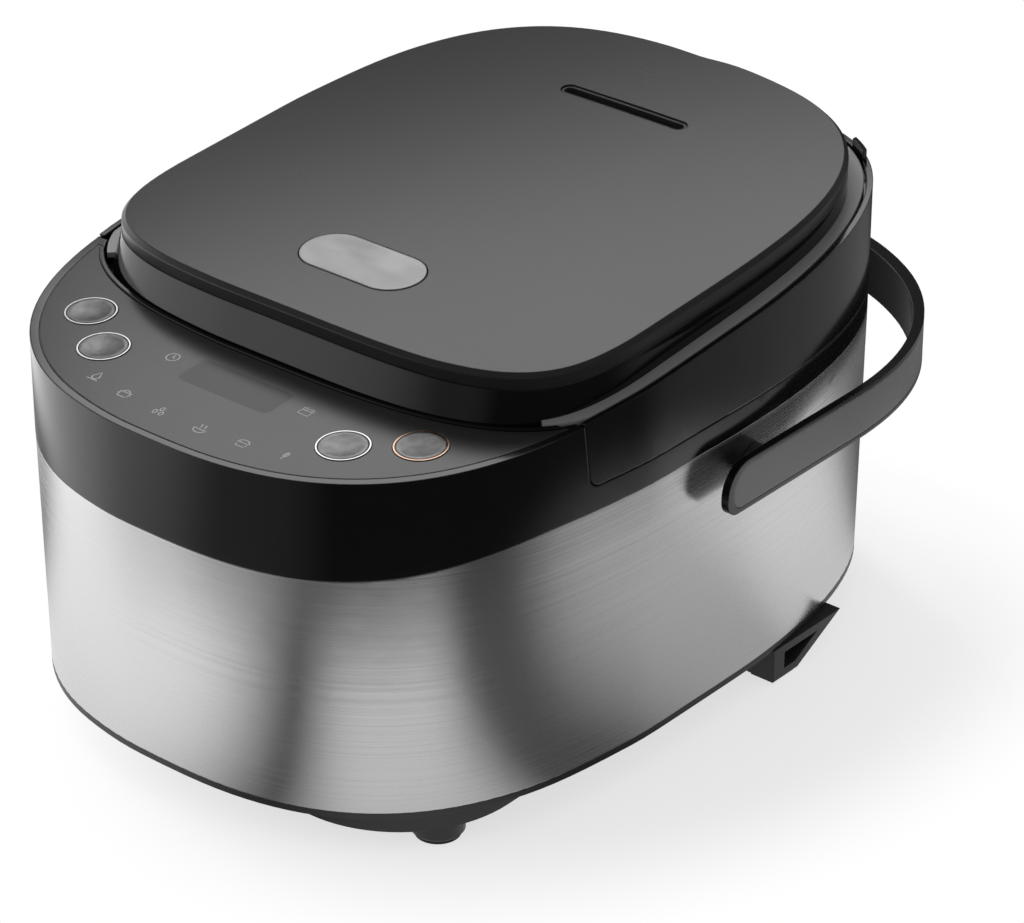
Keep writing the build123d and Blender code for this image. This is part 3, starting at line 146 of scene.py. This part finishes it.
# Bright stretches of the surround that glossy surfaces mirror. Each is a heading in degrees from the front
# towards +X, a half width in degrees and a strength. The floor beside the cooker shows the first row, and
# all that is farther out shows the second. DIM is the strength between the stretches.
NEAR_STRETCHES = (
    (-27.0, 40.0, 1.1), (-80.0, 45.0, 0.2), (35.0, 24.0, 0.8), (117.0, 50.0, 0.55), (133.0, 22.0, 0.4))
FAR_STRETCHES = ((-72.0, 62.0, 1.5), (-8.0, 30.0, 0.2), (150.0, 40.0, 0.25))
NEAR_DIM = 0.12
FAR_DIM = 0.04
NEAR_TO_FAR = (0.31, 0.38)     # metres from the middle where the first row gives way to the second
# painted shade: the first row is dimmer near the cooker's foot, a shade under the cooker that the steel's
# lower part mirrors
UNDER_DIM = (0.16, 0.3, 0.75)  # metres over which the first row rises to full, and its share before that
SKY_LEVEL = 0.13               # strength of what is overhead
SKY_RISE = (0.2, 0.6)          # sine of the elevation where the surround gives way to what is overhead
FILL_LEVEL = 0.6               # strength of the even light from all round

FLOOR_RADIUS = 4.0
FLOOR_SIDES = 96
FLOOR_SHADE = 0.92
# Outside an ellipse under the cooker the floor goes over to plain white, so that it meets the background.
SHADOW_SCALE = (6.0, 4.5, 1.0)
SHADOW_SHIFT = (-0.25, -0.12, 0.0)
SHADOW_EDGE = (0.8, 1.25)
SHADOW_WHITE = 0.68            # how much white is mixed in inside the ellipse


def surround(wires, vector, stretches, dim):
    """How bright the surround looks along a vector: a dim level plus one smooth hump per bright stretch."""
    level = wires.node("ShaderNodeVectorMath", operation="MULTIPLY")
    wires.put(level, 0, vector)
    wires.put(level, 1, (1.0, 1.0, 0.0))
    heading = wires.node("ShaderNodeVectorMath", operation="NORMALIZE")
    wires.put(heading, 0, level.outputs[0])
    total = dim
    for centre, half_width, strength in stretches:
        towards = wires.node("ShaderNodeVectorMath", operation="DOT_PRODUCT")
        wires.put(towards, 0, heading.outputs[0])
        wires.put(towards, 1, (sin(radians(centre)), -cos(radians(centre)), 0.0))
        hump = wires.ramp(towards.outputs["Value"], cos(radians(half_width)), 1.0, 0.0, strength)
        total = wires.math("ADD", hump, total)
    return total


def reflected_or_white(wires, strength):
    """White to the camera's rays, and a strength to glossy ones; also gives both kinds of rays."""
    rays = wires.node("ShaderNodeLightPath")
    seen = wires.math("MAXIMUM", rays.outputs["Is Camera Ray"], rays.outputs["Is Transmission Ray"])
    shown = wires.node("ShaderNodeMix", data_type="FLOAT")
    wires.put(shown, 0, seen)
    wires.put(shown, 2, strength)
    wires.put(shown, 3, 1.0)
    return shown.outputs[0], seen, rays.outputs["Is Glossy Ray"]


def light_world():
    """Even pale light, white to the camera, with bright and dim stretches for the glossy surfaces."""
    world = bpy.data.worlds.new("studio")
    bpy.context.scene.world = world
    world.use_nodes = True
    wires = Wiring(world.node_tree)
    world.node_tree.nodes.clear()
    heading = wires.node("ShaderNodeTexCoord").outputs["Generated"]
    apart = wires.node("ShaderNodeSeparateXYZ")
    wires.put(apart, 0, heading)
    strength = surround(wires, heading, FAR_STRETCHES, FAR_DIM)
    upper = wires.node("ShaderNodeMix", data_type="FLOAT")
    wires.put(upper, 0, wires.ramp(apart.outputs[2], *SKY_RISE, 0.0, 1.0))
    wires.put(upper, 2, strength)
    wires.put(upper, 3, SKY_LEVEL)
    shown, seen, glossy = reflected_or_white(wires, upper.outputs[0])
    fill = wires.node("ShaderNodeBackground")
    wires.put(fill, "Color", (1.0, 1.0, 1.0, 1.0))
    wires.put(fill, "Strength", FILL_LEVEL)
    white = wires.node("ShaderNodeBackground")
    wires.put(white, "Color", (1.0, 1.0, 1.0, 1.0))
    wires.put(white, "Strength", shown)
    mix = wires.node("ShaderNodeMixShader")
    wires.put(mix, 0, wires.math("MAXIMUM", seen, glossy))
    wires.put(mix, 1, fill.outputs[0])
    wires.put(mix, 2, white.outputs[0])
    out = wires.node("ShaderNodeOutputWorld")
    wires.put(out, "Surface", mix.outputs[0])


def floor():
    """A wide pale floor, white away from the cooker, that keeps the cooker's shadow."""
    around = np.linspace(0.0, 2.0 * np.pi, FLOOR_SIDES + 1)[:-1]
    points = FLOOR_RADIUS * np.stack([np.cos(around), np.sin(around), np.zeros(FLOOR_SIDES)], axis=1)
    mesh = bpy.data.meshes.new("floor")
    mesh.from_pydata(points.tolist(), [], [list(range(FLOOR_SIDES))])
    plate = bpy.data.objects.new("floor", mesh)
    bpy.context.scene.collection.objects.link(plate)
    material = bpy.data.materials.new("pale_floor")
    material.use_nodes = True
    wires = Wiring(material.node_tree)
    material.node_tree.nodes.clear()
    shade = wires.node("ShaderNodeBsdfDiffuse")
    wires.put(shade, "Color", (FLOOR_SHADE, FLOOR_SHADE, FLOOR_SHADE, 1.0))
    place = wires.node("ShaderNodeTexCoord").outputs["Object"]
    reach = wires.node("ShaderNodeVectorMath", operation="LENGTH")
    wires.put(reach, 0, place)
    near = surround(wires, place, NEAR_STRETCHES, NEAR_DIM)
    # painted shade: the mirrored floor is dimmed towards the cooker's foot
    near_from, near_to, under = UNDER_DIM
    near = wires.math("MULTIPLY", near, wires.ramp(reach.outputs["Value"], near_from, near_to, under, 1.0))
    both = wires.node("ShaderNodeMix", data_type="FLOAT")
    wires.put(both, 0, wires.ramp(reach.outputs["Value"], *NEAR_TO_FAR, 0.0, 1.0))
    wires.put(both, 2, near)
    wires.put(both, 3, surround(wires, place, FAR_STRETCHES, FAR_DIM))
    shown, seen, glossy = reflected_or_white(wires, both.outputs[0])
    ellipse = wires.node("ShaderNodeMapping", vector_type="POINT")
    wires.put(ellipse, "Vector", place)
    wires.put(ellipse, "Location", SHADOW_SHIFT)
    wires.put(ellipse, "Scale", SHADOW_SCALE)
    apart = wires.node("ShaderNodeVectorMath", operation="LENGTH")
    wires.put(apart, 0, ellipse.outputs[0])
    whiteness = wires.ramp(apart.outputs["Value"], *SHADOW_EDGE, SHADOW_WHITE, 1.0)
    share = wires.math("ADD", wires.math("MULTIPLY", seen, whiteness), glossy, clamp=True)
    glow = wires.node("ShaderNodeEmission")
    wires.put(glow, "Color", (1.0, 1.0, 1.0, 1.0))
    wires.put(glow, "Strength", shown)
    mix = wires.node("ShaderNodeMixShader")
    wires.put(mix, 0, share)
    wires.put(mix, 1, shade.outputs[0])
    wires.put(mix, 2, glow.outputs[0])
    out = wires.node("ShaderNodeOutputMaterial")
    wires.put(out, "Surface", mix.outputs[0])
    mesh.materials.append(material)


# ---------------------------------------------------------------- shared effects
def new_group(name, inputs, outputs):
    """An empty shader node group with its named sockets."""
    group = bpy.data.node_groups.new(name, "ShaderNodeTree")
    for socket, default in inputs.items():
        made = group.interface.new_socket(socket, in_out="INPUT", socket_type="NodeSocketFloat")
        made.default_value = default
    for socket in outputs:
        group.interface.new_socket(socket, in_out="OUTPUT", socket_type="NodeSocketFloat")
    wires = Wiring(group)
    return group, wires, wires.node("NodeGroupInput"), wires.node("NodeGroupOutput")


def smudge_group():
    """Faint handling marks: two sizes of soft noise mixed into one value about the middle one."""
    group, wires, given, made = new_group(
        "soft_smudges", {"Scale": 14.0, "Middle": 0.1, "Spread": 0.04}, ["Value"])
    place = wires.node("ShaderNodeTexCoord").outputs["Object"]
    broad = wires.node("ShaderNodeTexNoise")
    wires.put(broad, "Vector", place)
    wires.put(broad, "Scale", given.outputs["Scale"])
    wires.put(broad, "Detail", 3.0)
    fine = wires.node("ShaderNodeTexNoise")
    wires.put(fine, "Vector", place)
    wires.put(fine, "Scale", wires.math("MULTIPLY", given.outputs["Scale"], 9.0))
    wires.put(fine, "Detail", 4.0)
    both = wires.math("ADD", broad.outputs[0], wires.math("MULTIPLY", fine.outputs[0], 0.4))
    offset = wires.math("SUBTRACT", both, 0.7)
    spread = wires.math("MULTIPLY", offset, given.outputs["Spread"])
    wires.put(made, "Value", wires.math("ADD", given.outputs["Middle"], spread))
    return group


def grain_group():
    """Fine moulded grain: a tight noise as a height."""
    group, wires, given, made = new_group("moulded_grain", {"Scale": 900.0, "Depth": 1.0}, ["Height"])
    noise = wires.node("ShaderNodeTexNoise")
    wires.put(noise, "Vector", wires.node("ShaderNodeTexCoord").outputs["Object"])
    wires.put(noise, "Scale", given.outputs["Scale"])
    wires.put(noise, "Detail", 2.0)
    wires.put(made, "Height", wires.math("MULTIPLY", noise.outputs[0], given.outputs["Depth"]))
    return group


def brushing_group():
    """Fine brushed lines that run level: noise drawn out sideways and tight in height, in two sizes."""
    group, wires, given, made = new_group(
        "brushed_lines", {"Along": 5.0, "Across": 1500.0}, ["Height", "Tone"])
    place = wires.node("ShaderNodeTexCoord").outputs["Object"]
    sizes = []
    for share in (1.0, 0.45):
        scale = wires.node("ShaderNodeCombineXYZ")
        wires.put(scale, 0, given.outputs["Along"])
        wires.put(scale, 1, given.outputs["Along"])
        wires.put(scale, 2, wires.math("MULTIPLY", given.outputs["Across"], share))
        stretch = wires.node("ShaderNodeVectorMath", operation="MULTIPLY")
        wires.put(stretch, 0, place)
        wires.put(stretch, 1, scale.outputs[0])
        noise = wires.node("ShaderNodeTexNoise")
        wires.put(noise, "Vector", stretch.outputs[0])
        wires.put(noise, "Scale", 1.0)
        wires.put(noise, "Detail", 3.0)
        sizes.append(noise.outputs[0])
    height = wires.math("ADD", wires.math("MULTIPLY", sizes[0], 0.6), wires.math("MULTIPLY", sizes[1], 0.4))
    wires.put(made, "Height", height)
    wires.put(made, "Tone", wires.math("ADD", wires.math("MULTIPLY", sizes[0], 0.5),
                                       wires.math("MULTIPLY", sizes[1], 0.5)))
    return group


GROUPS = {}


def use_group(wires, name, **values):
    """Places a shared effect, built the first time it is asked for."""
    builders = {"soft_smudges": smudge_group, "moulded_grain": grain_group, "brushed_lines": brushing_group}
    if name not in GROUPS:
        GROUPS[name] = builders[name]()
    placed = wires.node("ShaderNodeGroup", node_tree=GROUPS[name])
    for socket, value in values.items():
        wires.put(placed, socket, value)
    return placed


# ---------------------------------------------------------------- finishes
def finish(name, colour, **settings):
    """A Principled material; returns it with its wiring and shader."""
    material = bpy.data.materials.new(name)
    material.use_nodes = True
    wires = Wiring(material.node_tree)
    shader = material.node_tree.nodes["Principled BSDF"]
    wires.put(shader, "Base Color", (*colour, 1.0))
    for socket, value in settings.items():
        wires.put(shader, socket.replace("_", " "), value)
    return material, wires, shader


EDGE_RADIUS = 0.0007


def bump(wires, shader, height, strength, distance):
    """Feeds a height into the shader's normal, over edges that are softened to a small radius."""
    edges = wires.node("ShaderNodeBevel", samples=6)
    wires.put(edges, "Radius", EDGE_RADIUS)
    step = wires.node("ShaderNodeBump")
    wires.put(step, "Normal", edges.outputs[0])
    wires.put(step, "Height", height)
    wires.put(step, "Strength", strength)
    wires.put(step, "Distance", distance)
    wires.put(shader, "Normal", step.outputs[0])


def tinted(wires, shader, tone, dark, light):
    """Colour that moves between two shades with a value."""
    mix = wires.node("ShaderNodeMix", data_type="RGBA")
    wires.put(mix, 0, tone)
    wires.put(mix, 6, (*dark, 1.0))
    wires.put(mix, 7, (*light, 1.0))
    wires.put(shader, "Base Color", mix.outputs[2])


def brushed_metal(name, dark, light, roughness, along=3.0, across=2600.0, stretch=0.75):
    """Metal with level brushing that draws its highlights out upwards."""
    material, wires, shader = finish(
        name, light, Metallic=1.0, Anisotropic=stretch, Anisotropic_Rotation=0.25)
    lines = use_group(wires, "brushed_lines", Along=along, Across=across)
    tone = lines.outputs["Tone"]
    tinted(wires, shader, tone, dark, light)
    wires.put(shader, "Roughness", wires.ramp(tone, 0.3, 0.7, roughness - 0.05, roughness + 0.05))
    bump(wires, shader, lines.outputs["Height"], 0.06, 0.0002)
    return material


def gloss_plastic(name, colour, roughness, smudge=0.03, specular=0.5):
    """Polished moulded plastic with faint handling marks."""
    material, wires, shader = finish(name, colour, Specular_IOR_Level=specular)
    marks = use_group(wires, "soft_smudges", Scale=14.0, Middle=roughness, Spread=smudge)
    wires.put(shader, "Roughness", marks.outputs["Value"])
    ripple = use_group(wires, "moulded_grain", Scale=60.0, Depth=1.0)
    bump(wires, shader, ripple.outputs["Height"], 0.02, 0.0005)
    return material


def matt_plastic(name, colour, roughness, depth=0.12):
    """Moulded plastic with a fine grain."""
    material, wires, shader = finish(name, colour)
    grain = use_group(wires, "moulded_grain", Scale=1400.0, Depth=1.0)
    marks = use_group(wires, "soft_smudges", Scale=30.0, Middle=roughness, Spread=0.12)
    wires.put(shader, "Roughness", marks.outputs["Value"])
    bump(wires, shader, grain.outputs["Height"], depth, 0.0004)
    return material


def cast_metal(name, dark, light, roughness):
    """Plain metal with a cloudy surface."""
    material, wires, shader = finish(name, light, Metallic=1.0)
    marks = use_group(wires, "soft_smudges", Scale=40.0, Middle=roughness, Spread=0.15)
    tone = use_group(wires, "soft_smudges", Scale=90.0, Middle=0.5, Spread=1.2)
    tinted(wires, shader, tone.outputs["Value"], dark, light)
    wires.put(shader, "Roughness", marks.outputs["Value"])
    return material


def ring_metal(name, silver, copper, roughness):
    """Polished key rings, silver but for the start key's, which has a copper tint."""
    material, wires, shader = finish(name, silver, Metallic=1.0)
    low, high = (np.array(corner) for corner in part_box("panel_key_4"))
    start = wires.node("ShaderNodeMapping", vector_type="POINT")
    wires.put(start, "Vector", wires.node("ShaderNodeTexCoord").outputs["Object"])
    wires.put(start, "Location", tuple(-(low + high) / 2))
    apart = wires.node("ShaderNodeVectorMath", operation="LENGTH")
    wires.put(apart, 0, start.outputs[0])
    tinted(wires, shader, wires.ramp(apart.outputs["Value"], 0.013, 0.015, 1.0, 0.0), silver, copper)
    marks = use_group(wires, "soft_smudges", Scale=60.0, Middle=roughness, Spread=0.1)
    wires.put(shader, "Roughness", marks.outputs["Value"])
    return material


def dished_metal(name, dark, light, roughness):
    """Satin key caps with a fine cloudy grain."""
    material, wires, shader = finish(name, light, Metallic=1.0)
    cloud = use_group(wires, "soft_smudges", Scale=260.0, Middle=0.5, Spread=1.6)
    tinted(wires, shader, cloud.outputs["Value"], dark, light)
    marks = use_group(wires, "soft_smudges", Scale=120.0, Middle=roughness, Spread=0.2)
    wires.put(shader, "Roughness", marks.outputs["Value"])
    grain = use_group(wires, "moulded_grain", Scale=2600.0, Depth=1.0)
    bump(wires, shader, grain.outputs["Height"], 0.15, 0.0002)
    return material


def dress_nodes():
    """Gives every CAD node its finish by the record's material slot, and returns the finishes."""
    finishes = {
        "brushed_steel": brushed_metal("brushed_steel", (0.57, 0.57, 0.57), (0.63, 0.63, 0.63), 0.24),
        "black_gloss": gloss_plastic("casing_black", (0.003, 0.003, 0.0032), 0.12),
        "panel_gloss": gloss_plastic("panel_gloss", (0.012, 0.012, 0.0125), 0.24),
        "lid_gloss": gloss_plastic("lid_gloss", (0.012, 0.012, 0.0125), 0.27, smudge=0.02),
        "light_plastic": matt_plastic("light_grey_plastic", (0.2, 0.2, 0.205), 0.4),
        "satin_silver": brushed_metal(
            "satin_silver", (0.30, 0.30, 0.30), (0.38, 0.38, 0.38), 0.4, 60.0, 2400.0, 0.3),
        "key_chrome": ring_metal("key_chrome", (0.5, 0.49, 0.48), (0.52, 0.34, 0.25), 0.18),
        "facing_grey": matt_plastic("facing_grey", (0.1, 0.1, 0.1), 0.3, 0.03),
        "black_plastic": matt_plastic("black_plastic", (0.018, 0.018, 0.019), 0.42),
        "rubber": matt_plastic("black_rubber", (0.014, 0.014, 0.014), 0.75, 0.3),
        "silicone": matt_plastic("grey_silicone", (0.50, 0.50, 0.48), 0.55, 0.1),
        "aluminium": brushed_metal(
            "spun_aluminium", (0.60, 0.60, 0.61), (0.74, 0.74, 0.75), 0.36, 30.0, 900.0, 0.3),
        "pot_coating": matt_plastic("pot_coating", (0.045, 0.043, 0.042), 0.34, 0.2),
        "plain_steel": cast_metal("plain_steel", (0.42, 0.42, 0.43), (0.58, 0.58, 0.59), 0.3),
        "brass_contacts": cast_metal("brass_contacts", (0.62, 0.44, 0.18), (0.80, 0.60, 0.28), 0.25),
        "board": matt_plastic("green_board", (0.02, 0.11, 0.05), 0.4, 0.2),
        "display": gloss_plastic("display_glass", (0.05, 0.052, 0.055), 0.12),
        "clear_plastic": gloss_plastic("clear_pegs", (0.02, 0.02, 0.02), 0.2),
        "fuse_white": matt_plastic("fuse_white", (0.70, 0.70, 0.66), 0.5),
    }
    key_cap = dished_metal("key_cap", (0.16, 0.16, 0.16), (0.27, 0.27, 0.27), 0.36)
    for name, node in nodes.items():
        for place in node.material_slots:
            place.material = key_cap if name.startswith("panel_key") else finishes[place.material.name]
    return finishes


# ---------------------------------------------------------------- wound springs in place of the rigid ones
WIRE_RADIUS = 0.0006
WIRE_SIDES = 12
STEPS_PER_TURN = 28
# CAD node, its body, the joint that presses it, the sides of its box where a spring stands, and the pitch
SPRINGS = (("button_springs", "lid", "lid_button_press", (-1, 1), 0.0026),
           ("sensor_spring", "base", "thermostat_press", (0,), 0.004))


def spring(name, centre, radius, foot, top, pitch):
    """A wound wire: radius times cosine and sine while the height rises evenly, and a circle of the wire's
    radius square to that path. One flat face closes each end."""
    turns = (top - foot - 2 * WIRE_RADIUS) / pitch
    count = int(turns * STEPS_PER_TURN) + 1
    turn = np.linspace(0.0, 2 * np.pi * turns, count)
    path = np.column_stack([
        centre[0] + radius * np.cos(turn), centre[1] + radius * np.sin(turn),
        np.linspace(foot + WIRE_RADIUS, top - WIRE_RADIUS, count)])
    rise = np.full(count, pitch / (2 * np.pi))
    along = np.column_stack([-radius * np.sin(turn), radius * np.cos(turn), rise])
    along /= np.linalg.norm(along, axis=1, keepdims=True)
    outward = np.column_stack([np.cos(turn), np.sin(turn), np.zeros(count)])
    upward = np.cross(outward, along)
    wind = np.linspace(0.0, 2 * np.pi, WIRE_SIDES + 1)[:-1]
    circle = outward[:, None] * np.cos(wind)[None, :, None] + upward[:, None] * np.sin(wind)[None, :, None]
    points = (path[:, None] + WIRE_RADIUS * circle).reshape(-1, 3)
    ring, place = np.meshgrid(WIRE_SIDES * np.arange(count - 1), np.arange(WIRE_SIDES), indexing="ij")
    after = (place + 1) % WIRE_SIDES
    following = ring + WIRE_SIDES
    corners = (ring + place, following + place, following + after, ring + after)
    quads = np.stack(corners, axis=-1).reshape(-1, 4)
    last = (count - 1) * WIRE_SIDES
    ends = [list(range(WIRE_SIDES)), list(range(last, last + WIRE_SIDES))[::-1]]
    mesh = bpy.data.meshes.new(name)
    mesh.from_pydata(points.tolist(), [], quads.tolist() + ends)
    mesh.polygons.foreach_set("use_smooth", np.ones(len(mesh.polygons), dtype=bool))
    piece = bpy.data.objects.new(name, mesh)
    bpy.context.scene.collection.objects.link(piece)
    return piece


def dress_springs(metal):
    """Wound springs in place of the rigid ones, each riding with its body: the lid's button springs and the
    thermostat's spring.
    """
    for node, body, joint, sides, pitch in SPRINGS:
        low, high = (np.array(corner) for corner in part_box(node))
        outer = (high[1] - low[1]) / 2
        middle = (low + high) / 2
        for number, side in enumerate(sides, start=1):
            centre = (middle[0] + side * ((high[0] - low[0]) / 2 - outer), middle[1])
            piece = spring(f"{node}_{number}", centre, outer - WIRE_RADIUS, low[2], high[2], pitch)
            piece.data.materials.append(metal)
            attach(piece, body)
            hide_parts(node)
            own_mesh(piece)


# ---------------------------------------------------------------- marks on the panel
MM = 0.001
PRINT_LIFT = 0.03 * MM         # how far the printed marks stand off the lens
STROKE = 0.55                  # width of a mark's lines, mm
MODE_PLACES = ((49.0, -171.7), (31.0, -175.0), (10.8, -176.8))
TIMER_PLACE = (35.0, -144.3)
MARK_SCALE = 1.05
LAMP_SHIFT = 6.2               # the small lamps sit this far behind the modes' marks, mm
TIMER_LAMP_SHIFT = -8.6        # and this far from the timers' marks, to their front
LAMP_RADIUS = 1.05


def lens_plane():
    """Slope and height of the lens's flat top: a plane fitted to its upward faces."""
    mesh = nodes["panel_lens"].data
    count = len(mesh.polygons)
    centres = np.empty(count * 3)
    normals = np.empty(count * 3)
    mesh.polygons.foreach_get("center", centres)
    mesh.polygons.foreach_get("normal", normals)
    centres, normals = centres.reshape(-1, 3), normals.reshape(-1, 3)
    top = centres[normals[:, 2] > 0.99]
    rows = np.column_stack([top[:, 1], np.ones(len(top))])
    (slope, height), *_ = np.linalg.lstsq(rows, top[:, 2], rcond=None)
    return slope, height


def lay_on_lens(flat):
    """Points given in mm on the panel's plan, raised to the lens's sloping top."""
    slope, height = lens_plane()
    plan = np.asarray(flat) * MM
    return np.column_stack([plan, slope * plan[:, 1] + height + PRINT_LIFT])


def arc(centre, radii, start, stop, count=17):
    """Points of an ellipse's arc: centre plus cosine and sine times the radii, angles in degrees."""
    angles = np.radians(np.linspace(start, stop, count))
    return np.column_stack([centre[0] + radii[0] * np.cos(angles), centre[1] + radii[1] * np.sin(angles)])


def ribbon(path, width):
    """A flat strip along a path: every point moved half a width to each side, square to the path.

    A path that ends where it starts becomes a loop without a seam.
    """
    path = np.asarray(path, dtype=float)
    looped = np.allclose(path[0], path[-1])
    if looped:
        path = path[:-1]
        along = np.roll(path, -1, axis=0) - np.roll(path, 1, axis=0)
    else:
        along = np.gradient(path, axis=0)
    along /= np.linalg.norm(along, axis=1, keepdims=True)
    aside = np.column_stack([-along[:, 1], along[:, 0]]) * width / 2
    points = np.vstack([path + aside, path - aside])
    count = len(path)
    first = np.arange(count if looped else count - 1)
    after = (first + 1) % count
    faces = np.column_stack([first, first + count, after + count, after])
    return points, faces


def wave(x, low, high, swing, count=13):
    """A rising wisp: a sine across as the height goes from low to high."""
    height = np.linspace(low, high, count)
    return np.column_stack([x + swing * np.sin((height - low) / (high - low) * 2 * np.pi), height])


def bowl_mark():
    """A bowl under two wisps of steam."""
    return [arc((0, -0.4), (2.6, 2.2), 180, 360), [(-3.1, -0.4), (3.1, -0.4)],
            wave(-0.9, 0.5, 2.8, 0.35), wave(0.9, 0.5, 2.8, 0.35)]


def pot_mark():
    """A lidded pot with two handles."""
    return [[(-2.2, 0.8), (-2.2, -1.6), (-1.7, -2.2), (1.7, -2.2), (2.2, -1.6), (2.2, 0.8)],
            [(-2.9, 0.8), (2.9, 0.8)], arc((0, 0.8), (1.7, 1.3), 0, 180), [(-3.1, -0.4), (-2.2, -0.4)],
            [(2.2, -0.4), (3.1, -0.4)]]


def grain_mark():
    """Three grains round a middle."""
    marks = []
    for turn in (90, 210, 330):
        centre = (1.7 * cos(radians(turn)), 1.7 * sin(radians(turn)))
        marks.append(arc(centre, (0.75, 1.15), 0, 360))
    return marks


def drop_mark():
    """A drop beside a level line."""
    side = arc((0, -0.8), (1.5, 1.5), -215, 35)
    return [np.vstack([[(0.0, 2.6)], side, [(0.0, 2.6)]]), [(-2.6, -2.8), (2.6, -2.8)]]


def leaf_mark():
    """A leaf with its rib."""
    return [arc((-0.9, 0), (2.6, 2.6), -45, 45), arc((2.8, 0), (2.6, 2.6), 135, 225),
            [(0.9, -3.0), (0.9, 1.4)]]


def cake_mark():
    """A round loaf in a tin."""
    return [arc((0, 0.2), (2.5, 1.9), 0, 180),
            [(-2.5, 0.2), (-1.9, -2.2), (1.9, -2.2), (2.5, 0.2), (-2.5, 0.2)]]


def clock_mark():
    """A clock face with its hands."""
    return [arc((0, 0), (2.6, 2.6), 0, 360, 25), [(0, 1.7), (0, 0), (1.3, -0.6)]]


def calendar_mark():
    """A timer frame with two bars."""
    return [[(-2.4, -2.1), (2.4, -2.1), (2.4, 2.1), (-2.4, 2.1), (-2.4, -2.1)], [(-2.4, 0.8), (2.4, 0.8)],
            [(-1.2, 1.5), (-1.2, 2.8)], [(1.2, 1.5), (1.2, 2.8)]]


def join_flat(name, sheets):
    """One mesh from several flat sheets of points and faces laid on the lens."""
    points, faces, used = [], [], 0
    for flat, quads in sheets:
        points.append(flat)
        faces.extend((np.asarray(quads) + used).tolist())
        used += len(flat)
    mesh = bpy.data.meshes.new(name)
    mesh.from_pydata(lay_on_lens(np.vstack(points)).tolist(), [], faces)
    piece = bpy.data.objects.new(name, mesh)
    bpy.context.scene.collection.objects.link(piece)
    return piece


def panel_marks():
    """Printed marks by the modes and timers: the places are mirrored, and each has a mark of its own."""
    left = (drop_mark, pot_mark, grain_mark)
    right = (leaf_mark, cake_mark, bowl_mark)
    placed = [(-TIMER_PLACE[0], TIMER_PLACE[1], clock_mark), (TIMER_PLACE[0], TIMER_PLACE[1], calendar_mark)]
    placed += [(-x, y, mark) for (x, y), mark in zip(MODE_PLACES, left)]
    placed += [(x, y, mark) for (x, y), mark in zip(MODE_PLACES, right)]
    sheets = []
    for x, y, mark in placed:
        for path in mark():
            sheets.append(ribbon(np.asarray(path, dtype=float) * MARK_SCALE + (x, y), STROKE))
    return join_flat("panel_marks", sheets)


def patch(centre, radii, power, around):
    """A flat sheet inside a superellipse: radii times cosine and sine, each to two over the power."""
    turn = np.radians(np.arange(around) * 360.0 / around)
    across, along = np.cos(turn), np.sin(turn)
    x = centre[0] + radii[0] * np.sign(across) * np.abs(across) ** (2 / power)
    y = centre[1] + radii[1] * np.sign(along) * np.abs(along) ** (2 / power)
    return np.column_stack([x, y]), [list(range(around))]


def mode_lamps():
    """Small dark windows of the mode lamps."""
    sheets = []
    for x, y in (*MODE_PLACES, TIMER_PLACE):
        shift = TIMER_LAMP_SHIFT if (x, y) == TIMER_PLACE else LAMP_SHIFT
        for side in (-1, 1):
            sheets.append(patch((side * x, y + shift), (LAMP_RADIUS, LAMP_RADIUS), 2, 24))
    return join_flat("mode_lamps", sheets)


def display_window():
    """Darker window of the display: a rounded rectangle, the superellipse of power twelve in its box."""
    low, high = (np.array(corner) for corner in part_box("display_module"))
    middle, half = (low + high)[:2] / 2 / MM, (high - low)[:2] / 2 / MM
    return join_flat("display_window", [patch(middle, half, 12, 96)])


def dress_panel():
    """Puts the printed marks, the lamps' windows and the display's window on the lens."""
    print_grey = matt_plastic("mark_print", (0.3, 0.3, 0.3), 0.5, 0.05)
    lamp_dark = gloss_plastic("lamp_window", (0.006, 0.006, 0.006), 0.2)
    window_dark = gloss_plastic("display_tint", (0.004, 0.004, 0.0045), 0.2, specular=0.3)
    dressed = ((panel_marks(), print_grey), (mode_lamps(), lamp_dark), (display_window(), window_dark))
    for piece, material in dressed:
        piece.data.materials.append(material)
        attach(piece, "base")


place_camera()
light_world()
softbox("key_box", (-1.4, 0.3, 1.9), (0.0, 0.0, 0.1), (1.0, 1.0), 36.0, reflected=False)
softbox("lid_box", (-0.48, 0.57, 0.86), (0.0, 0.0, 0.19), (0.7, 0.4), 2.0)
floor()
dress_springs(dress_nodes()["plain_steel"])
dress_panel()

bpy.context.scene.view_settings.view_transform = "Standard"
